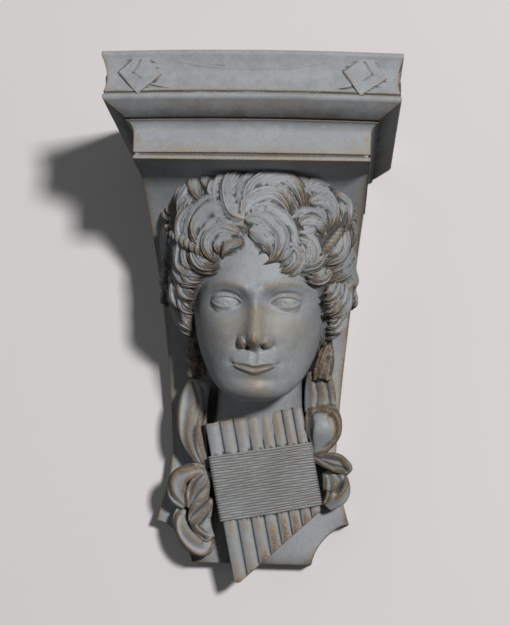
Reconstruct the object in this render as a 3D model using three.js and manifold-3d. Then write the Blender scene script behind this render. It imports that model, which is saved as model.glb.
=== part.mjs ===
// Decorative wall bracket of glazed terracotta, cast in one piece.
// A moulded shelf stands on a tapering console. In front of the console are a
// curly head, a knot of cloth on each side and a tilted set of pan pipes.
// Millimetres, +Z up. The wall is the plane y = 0, the front looks along -Y,
// and the origin is on the wall at half the height of the back.

import * as THREE from "three";
import { mergeVertices } from "three/addons/utils/BufferGeometryUtils.js";
import Module from "manifold-3d";

// Overall sizes
const HEIGHT = 485;             // shelf top to the foot of the back plate
const SHELF_WIDTH = 285;        // over the shelf's fillet
const SHELF_DEPTH = 254.5;      // wall to the front of the shelf's fillet

// Shelf mouldings, from the top down
const FRIEZE_HEIGHT = 44.5;     // hollow band under the top edge
const FRIEZE_LIP = 1.5;         // how far the top edge stands out over the fillet
const FRIEZE_HOLLOW = 3.75;     // depth of the band's hollow curve
const LIP_HEIGHT = 4;           // upright edge over the hollow
const QUIRK_DEPTH = 2.6;        // small groove between the band and the fillet
const QUIRK_HEIGHT = 1.3;
const FILLET_HEIGHT = 6.3;      // rounded edge under the band
const FILLET_ROUND = 1.5;       // how far its middle bulges
const SOFFIT_RUN = 20.5;        // how far the sloping underside runs inwards
const SOFFIT_DROP = 12.8;       // how far it falls
const GROOVE_DEPTH = 4;         // sharp groove under the soffit
const GROOVE_HEIGHT = 1.5;
const COVE_LIP = 1.2;           // flat lip above the cove
const COVE_DEPTH = 7.5;         // how far the cove curves in
const COVE_HEIGHT = 10.5;
const NECKING_HEIGHT = 18.5;    // upright band under the cove
const BEAD_GROOVE = 2;          // groove over the lowest fillet, as high as it is deep
const BEAD_HEIGHT = 4;          // lowest fillet

// Console and back plate
const CONSOLE_INSET = 1.5;      // console's top inside the lowest fillet, each side
const CONSOLE_PROJECTION = 182; // wall to the console's front under the shelf
const WAIST_WIDTH = 174;        // narrowest width
const WAIST_HEIGHT = 116;       // waist above the foot
const WING_WIDTH = 204;         // width over the two points of the plate
const SCOOP_HEIGHT = 43;        // hollow cut from each lower corner
const SCOOP_WIDTH = 39;
const SCOOP_CURVE = 1.6;        // 1 for a straight cut, 2 for a quarter of an ellipse
const PLATE_THICKNESS = 28;     // back plate at the foot

// Lozenges and swag on the shelf's hollow band
const LOZENGE_SIZE = 39.5;      // corner to corner
const LOZENGE_INSET = 35.5;     // centre in from the shelf's corner
const LOZENGE_DROP = 25.5;      // centre under the shelf's top
const LOZENGE_RELIEF = 4.5;
const LEFT_LOZENGE_TURN = -3;   // degrees off upright, seen from the front
const RIGHT_LOZENGE_TURN = -10;
const SWAG_DROP = 14;           // sag of the cloth line between the lozenges
const SWAG_RELIEF = 1.6;

// Head. Its own forms are shares of its height.
const HEAD_HEIGHT = 225;        // chin to where the hair meets the shelf
const HEAD_SIDE = 6;            // middle of the head right of the middle of the shelf
const HEAD_PROJECTION = 112;    // wall to the middle of the head
const HEAD_DROP = 118.5;        // shelf's underside down to the eyes
const HEAD_LEAN = 10;           // degrees, face down
const LOCK_LIFT = 4;            // how far the curls stand off the hair under them

// Pan pipes and their cord binding
const PIPE_COUNT = 8;
const PIPE_PITCH = 12.7;
const PIPE_SPREAD = 0.2;        // how much wider than the pitch the first pipe is
const PIPE_TILT = 11.5;         // degrees, right side up
const PIPE_LENGTH = 170;        // longest pipe, at the left
const PIPE_SHORTEST = 109;      // right end of the slanting cut
const PIPE_PROJECTION = 86;     // wall to the front of the pipes at their tops
const PIPE_RAKE = 26;           // how much nearer the wall their lower ends are
const PIPE_SCALLOP = 4;         // depth of the hollows between the pipes
const PIPE_DIP = 2.5;           // how far each pipe's mouth is cut down
const PIPE_THICKNESS = 17;
const PIPE_LEFT = 55;           // top left corner, left of the middle of the head
const PIPE_DROP = 122.5;        // top left corner under the eyes
const BINDING_START = 37;       // along the pipes from their tops
const BINDING_LENGTH = 66.6;
const BINDING_ROUNDS = 25;      // turns of cord
const BINDING_PROUD = 3;        // how far the cord stands off the pipes
const BINDING_SKEW = 0.04;      // how far its first turn drops along the pipes, of the way across

// Cloth
const CLOTH_FOLD = 3.2;         // height of the folds
const FALL_FOLDS = 3;           // folds across the upright parts
const LOOP_FOLDS = 2;           // folds across the loops and tails
const ROOT = 5;                 // how deep each form is let into the one behind it

// Places that follow from the sizes
const TOP = HEIGHT / 2;
const FOOT = -HEIGHT / 2;
const FILLET_TOP = TOP - FRIEZE_HEIGHT;
const SHELF_EDGE = FILLET_TOP - FILLET_HEIGHT;
const COVE_TOP = SHELF_EDGE - SOFFIT_DROP - GROOVE_HEIGHT;
const COVE_FOOT = COVE_TOP - COVE_LIP - COVE_HEIGHT;
const BEAD_TOP = COVE_FOOT - NECKING_HEIGHT - BEAD_GROOVE;
const UNDERSIDE = BEAD_TOP - BEAD_HEIGHT;
const NECKING_OFFSET = SOFFIT_RUN + COVE_DEPTH;
const CONSOLE_WIDTH = SHELF_WIDTH - 2 * (NECKING_OFFSET + CONSOLE_INSET);
const WAIST = FOOT + WAIST_HEIGHT;
const WING = FOOT + SCOOP_HEIGHT;
const HEAD_UNIT = HEAD_HEIGHT / 225;
const EYES = UNDERSIDE - HEAD_DROP;

const { atan2, abs, cos, exp, hypot, max, min, PI, pow, sin, sqrt } = Math;
const radians = THREE.MathUtils.degToRad;
const mix = THREE.MathUtils.lerp;
const point = (x, y, z) => new THREE.Vector3(x, y, z);

// Numbers from 0 to 1 in equal steps, both ends included.
function steps(count) {
  return Array.from({ length: count + 1 }, (_, k) => k / count);
}

// A bell curve of height 1 and half width `width` about zero.
function bell(distance, width) {
  return exp(-pow(distance / width, 2) / 2);
}

// Rises smoothly from 0 at `from` to 1 at `to`.
function rise(value, from, to) {
  const share = min(1, max(0, (value - from) / (to - from)));
  return share * share * (3 - 2 * share);
}

// A smooth curve through rows of numbers, read at a place given by the first
// number of each row. Rows run upwards or downwards in that number.
function through(rows, place) {
  const down = rows[0][0] > rows[1][0];
  const passed = rows.findIndex((row) => (down ? row[0] <= place : row[0] >= place));
  const next = passed < 0 ? rows.length - 1 : max(1, passed);
  const [a, b] = [rows[next - 1], rows[next]];
  const before = rows[next - 2] ?? a;
  const after = rows[next + 1] ?? b;
  const share = min(1, max(0, (place - a[0]) / (b[0] - a[0])));
  const slope = (p, q, k) => (p === q ? 0 : ((q[k] - p[k]) / (q[0] - p[0])) * (b[0] - a[0]));
  return a.slice(1).map((from, i) => {
    const to = b[i + 1];
    const start = slope(before, b, i + 1);
    const end = slope(a, after, i + 1);
    const square = share * share;
    const cube = square * share;
    return from * (2 * cube - 3 * square + 1) + to * (3 * square - 2 * cube)
      + start * (cube - 2 * square + share) + end * (cube - square);
  });
}

// A closed body from a stack of rings with equal numbers of points. A point in
// the middle of the first and the last ring closes the ends.
function loft(rings) {
  const count = rings[0].length;
  const vertices = rings.flat();
  const faces = [];
  for (let ring = 0; ring + 1 < rings.length; ring += 1) {
    for (let k = 0; k < count; k += 1) {
      const a = ring * count + k;
      const b = ring * count + ((k + 1) % count);
      faces.push([a, b, b + count], [a, b + count, a + count]);
    }
  }
  const middle = (ring) => ring.reduce((sum, p) => sum.add(p), point(0, 0, 0)).divideScalar(count);
  const lastRing = (rings.length - 1) * count;
  const firstCap = vertices.push(middle(rings[0])) - 1;
  const lastCap = vertices.push(middle(rings[rings.length - 1])) - 1;
  for (let k = 0; k < count; k += 1) {
    const next = (k + 1) % count;
    faces.push([firstCap, next, k], [lastCap, lastRing + k, lastRing + next]);
  }
  return facingOut(vertices, faces);
}

// A geometry whose triangles face outwards: all are turned over if the volume
// that they enclose comes out negative.
function facingOut(vertices, faces) {
  let volume = 0;
  for (const [a, b, c] of faces) {
    volume += vertices[a].dot(point(0, 0, 0).crossVectors(vertices[b], vertices[c]));
  }
  const turned = volume < 0 ? faces.map(([a, b, c]) => [a, c, b]) : faces;
  const geometry = new THREE.BufferGeometry();
  const numbers = vertices.flatMap((p) => [p.x, p.y, p.z]);
  geometry.setAttribute("position", new THREE.Float32BufferAttribute(numbers, 3));
  geometry.setIndex(turned.flat());
  return geometry;
}

// The corners of a level slab against the wall.
function slab(halfWidth, depth, z) {
  return [
    point(-halfWidth, 0, z),
    point(halfWidth, 0, z),
    point(halfWidth, -depth, z),
    point(-halfWidth, -depth, z),
  ];
}

// How far the hollow band lies inside the shelf's fillet at a share of its
// height from the lip down.
function friezeOffset(share) {
  return mix(-FRIEZE_LIP, FRIEZE_LIP * 0.7, share) + FRIEZE_HOLLOW * 4 * share * (1 - share);
}

// The shelf: one profile, mitred round the front and both sides.
function shelf() {
  const [lipFoot, bandFoot] = [TOP - LIP_HEIGHT, FILLET_TOP + QUIRK_HEIGHT];
  const profile = [[-FRIEZE_LIP, TOP]];
  profile.push(...steps(7).map((share) => [friezeOffset(share), mix(lipFoot, bandFoot, share)]));
  profile.push([QUIRK_DEPTH, bandFoot], [QUIRK_DEPTH, FILLET_TOP]);
  for (const share of steps(4)) {
    const bulge = FILLET_ROUND * sin(share * PI);
    profile.push([FILLET_ROUND - bulge, FILLET_TOP - FILLET_HEIGHT * share]);
  }
  profile.push([SOFFIT_RUN, SHELF_EDGE - SOFFIT_DROP]);
  profile.push([SOFFIT_RUN + GROOVE_DEPTH, SHELF_EDGE - SOFFIT_DROP]);
  profile.push([SOFFIT_RUN + GROOVE_DEPTH, COVE_TOP]);
  profile.push([SOFFIT_RUN, COVE_TOP]);
  for (const share of steps(5)) {
    const turn = (share * PI) / 2;
    profile.push([SOFFIT_RUN + COVE_DEPTH * sin(turn), COVE_FOOT + COVE_HEIGHT * cos(turn)]);
  }
  profile.push([NECKING_OFFSET, BEAD_TOP + BEAD_GROOVE]);
  profile.push([NECKING_OFFSET + BEAD_GROOVE, BEAD_TOP + BEAD_GROOVE]);
  profile.push([NECKING_OFFSET + BEAD_GROOVE, BEAD_TOP]);
  profile.push([NECKING_OFFSET, BEAD_TOP], [NECKING_OFFSET, UNDERSIDE]);
  return loft(profile.map(([inset, z]) => slab(SHELF_WIDTH / 2 - inset, SHELF_DEPTH - inset, z)));
}

// Half the width of the console at a height: a taper to the waist, a flare to
// the two points of the plate, then the scooped corners.
function consoleHalfWidth(z) {
  const waist = WAIST_WIDTH / 2;
  if (z > WAIST) {
    return waist + (CONSOLE_WIDTH / 2 - waist) * pow((z - WAIST) / (UNDERSIDE - WAIST), 1.3);
  }
  if (z > WING) {
    return waist + (WING_WIDTH / 2 - waist) * pow((WAIST - z) / (WAIST - WING), 1.6);
  }
  const below = pow(min(1, (z - FOOT) / SCOOP_HEIGHT), SCOOP_CURVE);
  return WING_WIDTH / 2 - SCOOP_WIDTH * pow(1 - below, 1 / SCOOP_CURVE);
}

// How far the console stands out from the wall at a height.
function consoleDepth(z) {
  const share = min(1, (z - FOOT) / (UNDERSIDE - FOOT));
  return PLATE_THICKNESS + (CONSOLE_PROJECTION - PLATE_THICKNESS) * pow(max(0, share), 4.8);
}

function consoleBody() {
  const upper = steps(14).map((share) => mix(UNDERSIDE, WING, share));
  const scoop = steps(8).slice(1).map((share) => FOOT + SCOOP_HEIGHT * cos((share * PI) / 2));
  const heights = [...upper, ...scoop];
  const rings = heights.map((z) => slab(consoleHalfWidth(z), consoleDepth(z), z));
  rings.unshift(slab(CONSOLE_WIDTH / 2, CONSOLE_PROJECTION, UNDERSIDE + ROOT));
  return loft(rings);
}

// A raised lozenge with a smaller one cut into its face. `place` puts a point
// of the band, given by its side step, its rise and its relief, on the shelf.
function lozenge(place, turn) {
  const reach = LOZENGE_SIZE / 2;
  const profile = [
    [1, -ROOT], [1, LOZENGE_RELIEF * 0.7], [0.94, LOZENGE_RELIEF],
    [0.62, LOZENGE_RELIEF], [0.56, LOZENGE_RELIEF * 0.3], [0.5, LOZENGE_RELIEF],
  ];
  return loft(profile.map(([size, relief]) => [0, 1, 2, 3].map((corner) => {
    const angle = (corner * PI) / 2 + turn;
    return place(reach * size * cos(angle), reach * size * sin(angle), relief);
  })));
}

// The two lozenges of the front and one on each side.
function lozenges() {
  const middle = TOP - LOZENGE_DROP;
  const flat = friezeOffset(0.5);
  const aside = SHELF_WIDTH / 2 - LOZENGE_INSET;
  const back = SHELF_DEPTH - LOZENGE_INSET;
  const all = [];
  for (const [side, degrees] of [[-1, LEFT_LOZENGE_TURN], [1, RIGHT_LOZENGE_TURN]]) {
    const turn = radians(degrees);
    const front = (step, up, relief) => point(
      side * aside + step, flat - SHELF_DEPTH - relief, middle + up);
    const flank = (step, up, relief) => point(
      side * (SHELF_WIDTH / 2 - flat + relief), -back - step, middle + up);
    all.push(lozenge(front, turn), lozenge(flank, turn));
  }
  return all;
}

// The low swag between the front lozenges: a strip whose two edges sag.
function swag() {
  const reach = SHELF_WIDTH / 2 - LOZENGE_INSET - LOZENGE_SIZE * 0.3;
  const middle = TOP - FRIEZE_HEIGHT / 2;
  const flat = friezeOffset(0.5) - SHELF_DEPTH;
  return loft(steps(12).map((share) => {
    const x = mix(-reach, reach, share);
    const sag = 1 - pow(x / reach, 2);
    const upper = middle + LOZENGE_SIZE * 0.46 - SWAG_DROP * sag;
    const lower = middle - LOZENGE_SIZE * 0.28 - SWAG_DROP * 0.6 * sag;
    const relief = SWAG_RELIEF;
    return [
      point(x, flat + ROOT, lower), point(x, flat + ROOT, upper),
      point(x, flat - relief * 0.4, upper), point(x, flat - relief, mix(upper, lower, 0.15)),
      point(x, flat - relief * 0.8, mix(upper, lower, 0.8)), point(x, flat, lower),
    ];
  }));
}

// Places a point of the head: steps to the right, forwards and up from
// `middle`, in head units, leaned with the face.
function onHead(middle, right, forward, up) {
  const lean = radians(HEAD_LEAN);
  return point(
    middle.x + right * HEAD_UNIT,
    middle.y - (forward * cos(lean) + up * sin(lean)) * HEAD_UNIT,
    middle.z + (up * cos(lean) - forward * sin(lean)) * HEAD_UNIT,
  );
}

const FACE_MIDDLE = point(HEAD_SIDE, -HEAD_PROJECTION, EYES);

// The plain head: height over the eyes, half width and front.
const HEAD_STATIONS = [
  [86, 52, 64], [50, 66, 80], [15, 68, 84], [0, 67, 81], [-25, 65, 79], [-46, 61, 78],
  [-64, 54, 76], [-80, 44, 72], [-92, 30, 65], [-99, 12, 50],
];

// The ridge of the nose: height over the eyes, and how far it stands out.
const NOSE_RIDGE = [[16, 0], [8, 4], [0, 7], [-20, 14], [-36, 21], [-42, 17], [-48, 0]];

// How far the features of a calm, even face stand out of the plain head.
function features(x, z) {
  const side = abs(x);
  let out = 3.5 * bell(side - 22, 15) * bell(z - 16, 6) + 1.5 * bell(x, 10) * bell(z - 14, 8);
  out -= 9 * bell(side - 31, 13) * bell(z - 1, 8) + 4 * bell(side - 17, 5) * bell(z + 1, 6);
  const ball = 1 - pow((side - 29) / 16, 2) - pow(z / 10, 2);
  out += 7 * pow(max(0, ball), 0.7);
  const width = mix(6.5, 9, rise(-z, 0, 40));
  out += through(NOSE_RIDGE, z)[0] * exp(-pow(side / width, 2.4));
  out += 8 * bell(side - 12, 4.5) * bell(z + 40, 4.5) * rise(z, -48, -44);
  out += 4 * bell(x, 24) * bell(z + 63, 15);
  out += 3.5 * bell(x, 15) * bell(z + 60, 3) + 4 * bell(x, 13) * bell(z + 69, 3.5);
  out -= 3 * bell(x, 17) * bell(z + 64.5, 1.8) + 3 * bell(x, 16) * bell(z + 75, 4.5);
  out += 6 * bell(x, 15) * bell(z + 87, 8) + 3 * bell(side - 38, 15) * bell(z + 28, 14);
  return out;
}

// The edge of the jaw: height over the eyes, and how far forward it is.
const JAW_STATIONS = [[86, 0], [-52, 0], [-66, 7], [-78, 22], [-89, 36], [-99, 43]];

// Distance of the face in front of the middle of the head.
function faceFront(x, z, halfWidth, front, edge) {
  const share = min(1, abs(x / halfWidth));
  const round = pow(1 - pow(share, 2.2), 0.48);
  return edge + (front - edge) * round + features(x, z) * rise(round, 0, 0.45);
}

function face() {
  const [crown, chin] = [HEAD_STATIONS[0][0], HEAD_STATIONS.at(-1)[0]];
  const rows = [crown, ...steps(28).map((share) => mix(crown / 2, chin, share))];
  const columns = steps(16).map((share) => 2 * share - 1);
  const rings = rows.map((z) => {
    const [halfWidth, front] = through(HEAD_STATIONS, z);
    const [edge] = through(JAW_STATIONS, z);
    const ring = columns.map((column) => {
      const x = halfWidth * (0.5 * column + 0.5 * pow(column, 3));
      return onHead(FACE_MIDDLE, x, faceFront(x, z, halfWidth, front, edge), z);
    });
    for (const column of [0.6, 0, -0.6]) {
      const behind = edge - 0.4 * (front - edge) * sqrt(1 - column * column);
      ring.push(onHead(FACE_MIDDLE, halfWidth * column, behind, z));
    }
    return ring;
  });
  return loft(rings);
}

// Neck and top of the chest, down behind the pipes: height under the eyes,
// half width and distance from the wall, in head units.
const NECK_STATIONS = [
  [-20, 44, 98], [-62, 44, 112], [-84, 45, 102], [-112, 48, 86], [-135, 54, 80], [-165, 50, 66],
];

function neck() {
  return loft(steps(6).map((share) => {
    const down = mix(-20, -165, share);
    const [halfWidth, front] = through(NECK_STATIONS, down);
    const z = EYES + down * HEAD_UNIT;
    const depth = front * HEAD_UNIT - PLATE_THICKNESS + ROOT;
    return steps(10).map((turn) => point(
      HEAD_SIDE + halfWidth * HEAD_UNIT * cos(turn * PI) * 1.02,
      -PLATE_THICKNESS + ROOT - depth * pow(sin(turn * PI), 0.7),
      z,
    ));
  }));
}

// The mass of hair under the curls, an egg with its own middle.
const HAIR_MIDDLE = point(HEAD_SIDE - 2, FACE_MIDDLE.y + 8, EYES + 41 * HEAD_UNIT);
const HAIR_HALF_WIDTH = 94;
const HAIR_FRONT = 97;
const HAIR_BACK = 62;
const HAIR_HALF_HEIGHT = 82;
const HAIR_ROUND = 92;          // arc length for one radian, at the front
const HAIR_CREST = 21;          // how much fuller the hair is over the brow
const HAIR_SQUARENESS = 0.22;   // how far its outline fills the corners

// A point of the hair. `a` and `b` are the steps right and up along the hair
// from the point over the forehead, and `lift` is the height above it.
function onHair(a, b, lift) {
  const angle = hypot(a, b) / HAIR_ROUND;
  const turn = atan2(b, a);
  const forwards = cos(angle);
  const full = lift + HAIR_CREST * rise(b, 30, 100);
  const square = 1 + HAIR_SQUARENESS * pow(sin(2 * turn) * sin(angle), 2);
  const right = (HAIR_HALF_WIDTH + lift) * sin(angle) * square * cos(turn);
  const forward = ((forwards > 0 ? HAIR_FRONT : HAIR_BACK) + full) * forwards;
  const up = (HAIR_HALF_HEIGHT + full) * sin(angle) * square * sin(turn);
  return onHead(HAIR_MIDDLE, right, forward, up);
}

// A point of the hair beside the face, an upright column on each side. `a` runs
// round it from the front outwards, `b` is the height over the eyes.
const SIDE_MIDDLE = 66;
const SIDE_ROUND = 25;
const SIDE_TOP = 40;
const SIDE_FOOT = -44;

function besideFace(side) {
  return (a, b, lift) => {
    const angle = a / SIDE_ROUND;
    const taper = SIDE_ROUND * (0.2 + 0.8 * sqrt(rise(b, SIDE_FOOT, SIDE_FOOT + 45))) + lift;
    return onHead(FACE_MIDDLE, side * (SIDE_MIDDLE + taper * sin(angle)),
      taper * 1.1 * cos(angle) - 6, b);
  };
}

function sideMass(side) {
  const place = besideFace(side);
  return loft(steps(5).map((share) => steps(8).slice(1).map((turn) => (
    place(turn * 2 * PI * SIDE_ROUND, mix(SIDE_TOP, SIDE_FOOT, share), -3)
  ))));
}

// Short curls down each side of the face.
const SIDE_CURLS = {
  left: [
    [35, 25, 275, 40, -90, 12], [20, -5, 275, 38, -95, 14], [0, 15, 355, 35, -165, 12],
  ],
  right: [[20, 20, 300, 45, -110, 13], [0, -15, 95, 35, -75, 12], [28, -14, 250, 30, -70, 12]],
};

function sideCurls() {
  const { left, right } = SIDE_CURLS;
  return [
    ...left.map((row) => curl(row, besideFace(-1))),
    ...right.map((row) => curl(row, besideFace(1))),
  ];
}

function hairMass() {
  const rings = steps(10).slice(1, -1).map((share) => (
    steps(14).slice(1).map((turn) => {
      const reach = share * PI * HAIR_ROUND;
      const angle = turn * 2 * PI;
      const hairline = 26 * rise(-sin(angle), 0.2, 0.9) * bell(reach - 70, 60);
      return onHair(reach * cos(angle), reach * sin(angle), -hairline);
    })
  ));
  return loft(rings);
}

// One curl, carried along an arc over the hair: where it starts, its heading in
// degrees, its length, how many degrees it turns, and its width. It swells in
// the middle, thins to its tip and has a ridge along its back.
function curl([a, b, heading, length, turn, width], place = onHair) {
  const count = max(3, Math.round(length / 22));
  const path = [];
  let [right, up] = [a, b];
  for (let k = 0; k <= count; k += 1) {
    path.push([right, up]);
    const angle = radians(heading + (turn * (k + 0.5)) / count);
    right += (length / count) * cos(angle);
    up += (length / count) * sin(angle);
  }
  const rings = path.map(([x, y], k) => {
    const share = k / count;
    const swell = 0.5 + 0.6 * sin(PI * pow(share, 0.8));
    const half = (width / 2) * swell * (1 - 0.4 * pow(share, 4));
    const height = LOCK_LIFT + width * 0.12 * sin(PI * share);
    const middle = place(x, y, height - half * 0.4);
    const outward = place(x, y, height + 10).sub(middle).normalize();
    const [x0, y0] = path[max(0, k - 1)];
    const [x1, y1] = path[min(count, k + 1)];
    const onward = place(x1, y1, height).sub(place(x0, y0, height)).normalize();
    const across = point(0, 0, 0).crossVectors(outward, onward).normalize();
    return [[-1.15, -0.9], [-0.6, 0.6], [0.6, 0.6], [1.15, -0.9]]
      .map(([sideways, high]) => middle.clone()
        .addScaledVector(across, sideways * half * HEAD_UNIT)
        .addScaledVector(outward, high * half * HEAD_UNIT));
  });
  return loft(rings);
}

// Curls over the brow and crown, falling to both sides of the parting.
const FRONT_CURLS = [
  [-30, 100, 150, 85, 215, 17], [-10, 45, 155, 70, -135, 20], [-15, 45, 130, 80, 190, 18],
  [-55, 55, 175, 70, 190, 12], [-15, 30, 145, 60, 180, 16], [-10, 45, 100, 75, -210, 18],
  [-10, 55, 95, 100, -210, 20], [-5, 95, 20, 60, -65, 15], [-10, 45, 20, 80, -180, 20],
  [30, 20, 335, 45, -165, 13], [40, 25, 355, 45, -170, 13], [40, 40, 40, 35, -125, 14],
  [50, 60, 35, 45, -160, 16], [50, 75, 30, 35, -60, 15],
];

// Curls at the temples, left and then right.
const TEMPLE_CURLS = [
  [-65, 85, 95, 55, 150, 10], [-105, 90, 210, 55, 145, 10], [-65, 75, 225, 30, 20, 15],
  [-95, 35, 335, 55, -15, 13], [-105, 45, 180, 85, 170, 12], [-75, 25, 215, 65, 165, 13],
  [-95, -5, 305, 50, 55, 11],
  [85, 90, 60, 85, -280, 14], [80, 70, 20, 40, -155, 13], [85, 40, 235, 45, 0, 11],
  [105, 60, 25, 60, -125, 13], [95, 40, 300, 55, -115, 13], [140, 25, 245, 85, -60, 13],
  [145, 5, 240, 70, -40, 12],
];

// Rows of like curls round the back of the head, turning by turns.
function backCurls() {
  const rows = [];
  for (const side of [-1, 1]) {
    for (let k = 0; k < 4; k += 1) {
      const angle = radians(58 - 34 * k);
      const reach = 170 + 18 * (k % 2);
      const way = k % 2 ? side : -side;
      rows.push([side * reach * cos(angle), reach * sin(angle), 270 - 40 * way, 65, 120 * way, 20]);
    }
  }
  return rows;
}

// A closed tube of round rings: each station has its middle, its half widths
// sideways and out from the wall, and how high its ring is.
function hangingTube(stations, sides) {
  return loft(stations.map(([x, out, z, wide, deep]) => (
    steps(sides).slice(1).map((turn) => point(
      x + wide * cos(turn * 2 * PI), -out - deep * sin(turn * 2 * PI), z))
  )));
}

// The rough drop that hangs below each temple, open at its lower end.
function earDrop(side) {
  const unit = HEAD_UNIT;
  const x = HEAD_SIDE + side * 68 * unit;
  const top = EYES - 34 * unit;
  const foot = top - 42 * unit;
  const inwards = -side * 6 * unit;
  const out = 80 * unit;
  return hangingTube([
    [x, out, top + 6 * unit, 3 * unit, 6 * unit],
    [x, out, top, 7 * unit, 10 * unit],
    [x + inwards * 0.4, out, mix(top, foot, 0.4), 9 * unit, 11 * unit],
    [x + inwards * 0.8, out, mix(top, foot, 0.8), 7.5 * unit, 10 * unit],
    [x + inwards, out, foot, 7 * unit, 9 * unit],
    [x + inwards, out, foot, 4.5 * unit, 6 * unit],
    [x + inwards * 0.9, out, foot + 7 * unit, 3.5 * unit, 5 * unit],
  ], 10);
}

// A point of the pan pipes: steps across and down along the pipes from their
// top left corner, and the distance out from the wall.
const PIPES_X = HEAD_SIDE - PIPE_LEFT;
const PIPES_Z = EYES - PIPE_DROP;
const PIPES_WIDTH = PIPE_COUNT * PIPE_PITCH;

function onPipes(across, along, out) {
  const tilt = radians(PIPE_TILT);
  return point(
    PIPES_X + across * cos(tilt) + along * sin(tilt),
    -out,
    PIPES_Z + across * sin(tilt) - along * cos(tilt),
  );
}

// Distance of the front of the pipes from the wall.
function pipeFront(along) {
  return PIPE_PROJECTION - (PIPE_RAKE * along) / PIPE_LENGTH;
}

// Length of the pipes at a place across them, cut on a slant.
function pipeLength(across) {
  return mix(PIPE_LENGTH, PIPE_SHORTEST, across / PIPES_WIDTH);
}

// Place across the pipes of a share of their count: they narrow to the right.
function pipeAcross(share) {
  return PIPES_WIDTH * share * (1 + PIPE_SPREAD * (1 - share));
}

function pipes() {
  const perPipe = 4;
  return loft(steps(PIPE_COUNT * perPipe).map((share, k) => {
    const across = pipeAcross(share);
    const round = pow(abs(sin((k / perPipe) * PI)), 0.6);
    const hollow = PIPE_SCALLOP * (1 - round);
    const dip = PIPE_DIP * round;
    const foot = pipeLength(across);
    return [
      onPipes(across, dip, pipeFront(0) - PIPE_THICKNESS),
      onPipes(across, dip, pipeFront(0) - hollow),
      onPipes(across, foot, pipeFront(foot) - hollow),
      onPipes(across, foot, pipeFront(foot) - PIPE_THICKNESS),
    ];
  }));
}

// The mass that carries the pipes on the plate, inset behind them.
function pipeBacking() {
  const inset = PIPE_PITCH;
  const back = PLATE_THICKNESS - ROOT;
  return loft([0, 0.5, 1].map((share) => {
    const across = mix(inset, PIPES_WIDTH - inset, share);
    const top = inset;
    const foot = pipeLength(across) - inset;
    return [
      onPipes(across, top, back), onPipes(across, top, pipeFront(top) - PIPE_THICKNESS / 2),
      onPipes(across, foot, pipeFront(foot) - PIPE_THICKNESS / 2), onPipes(across, foot, back),
    ];
  }));
}

// The binding: one ridge for each turn of cord, round the front and sides.
function binding() {
  const rings = steps(BINDING_ROUNDS * 2).map((share, k) => {
    const along = BINDING_START + BINDING_LENGTH * share;
    const skew = BINDING_SKEW * (1 - 0.7 * share);
    const place = (across, out) => (
      onPipes(across, along + skew * (across - PIPES_WIDTH / 2), out));
    const proud = BINDING_PROUD - (k % 2 ? 0 : 1);
    const out = pipeFront(along) + proud;
    const back = pipeFront(along) - PIPE_THICKNESS - proud;
    const left = -proud;
    const right = PIPES_WIDTH + proud;
    const ease = BINDING_PROUD;
    return [
      place(left, back), place(left, out - ease),
      place(left + ease, out), place(right - ease, out),
      place(right, out - ease), place(right, back),
    ];
  });
  return loft(rings);
}

// A folded length of cloth let into the plate. Each station along it has its
// middle and its half width. The folds run along it, as a cosine across it.
function cloth(stations, folds) {
  const rows = stations.map((station, k) => [k, ...station]);
  const place = (row) => {
    const [x, out, z, half] = through(rows, row);
    return { middle: point(HEAD_SIDE + x, -out, EYES + z), half };
  };
  const count = (stations.length - 1) * 2;
  return loft(steps(count).map((share) => {
    const row = share * (stations.length - 1);
    const { middle, half } = place(row);
    const onward = place(min(stations.length - 1, row + 0.1)).middle
      .sub(place(max(0, row - 0.1)).middle).normalize();
    const across = point(0, 0, 0).crossVectors(onward, point(0, -1, 0)).normalize();
    const height = min(CLOTH_FOLD, half * 0.35);
    const ring = steps(folds * 2).map((side) => {
      const v = 2 * side - 1;
      const round = half * 0.35 * (sqrt(1 - v * v) - 0.6);
      const lift = round + height * cos(v * folds * PI);
      return middle.clone().addScaledVector(across, half * v).add(point(0, -lift, 0));
    });
    for (const v of [0.6, -0.6]) {
      const root = middle.clone().addScaledVector(across, half * v);
      ring.push(root.setY(-PLATE_THICKNESS + ROOT));
    }
    return ring;
  }));
}

// The two hanging cloths, from the top down: a fall, a loop beside the pinch,
// and the folds of the tail. Stations are right of the head's middle, out from
// the wall, down from the eyes, and half the width.
const LEFT_CLOTH = {
  fall: [[-62, 76, -78, 11], [-69, 70, -103, 15], [-69, 68, -131, 14], [-61, 66, -155, 8],
    [-54, 64, -169, 3]],
  loop: [[-52, 64, -169, 3], [-67, 72, -170, 7], [-81, 72, -178, 9], [-82, 66, -195, 9],
    [-74, 58, -208, 4]],
  upperTail: [[-52, 64, -171, 4], [-58, 72, -184, 9], [-62, 70, -197, 11], [-68, 60, -210, 6]],
  lowerTail: [[-50, 62, -197, 4], [-55, 68, -207, 9], [-58, 66, -219, 10], [-53, 60, -231, 6],
    [-47, 52, -240, 3]],
  end: [[-79, 52, -209, 4], [-80, 54, -222, 7], [-75, 54, -235, 8], [-65, 54, -245, 9],
    [-54, 52, -248, 8], [-47, 48, -241, 3]],
};
const RIGHT_CLOTH = {
  fall: [[61, 78, -66, 12], [62, 72, -85, 15], [63, 66, -108, 16]],
  loop: [[64, 66, -99, 13], [66, 80, -115, 19], [66, 80, -132, 18], [62, 70, -145, 10],
    [56, 60, -154, 3]],
  bow: [[56, 62, -153, 3], [69, 72, -157, 7], [81, 74, -159, 9], [90, 66, -163, 7],
    [94, 58, -168, 4]],
  tail: [[76, 56, -168, 9], [81, 60, -181, 13], [82, 58, -193, 12], [72, 50, -205, 5]],
};

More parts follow.
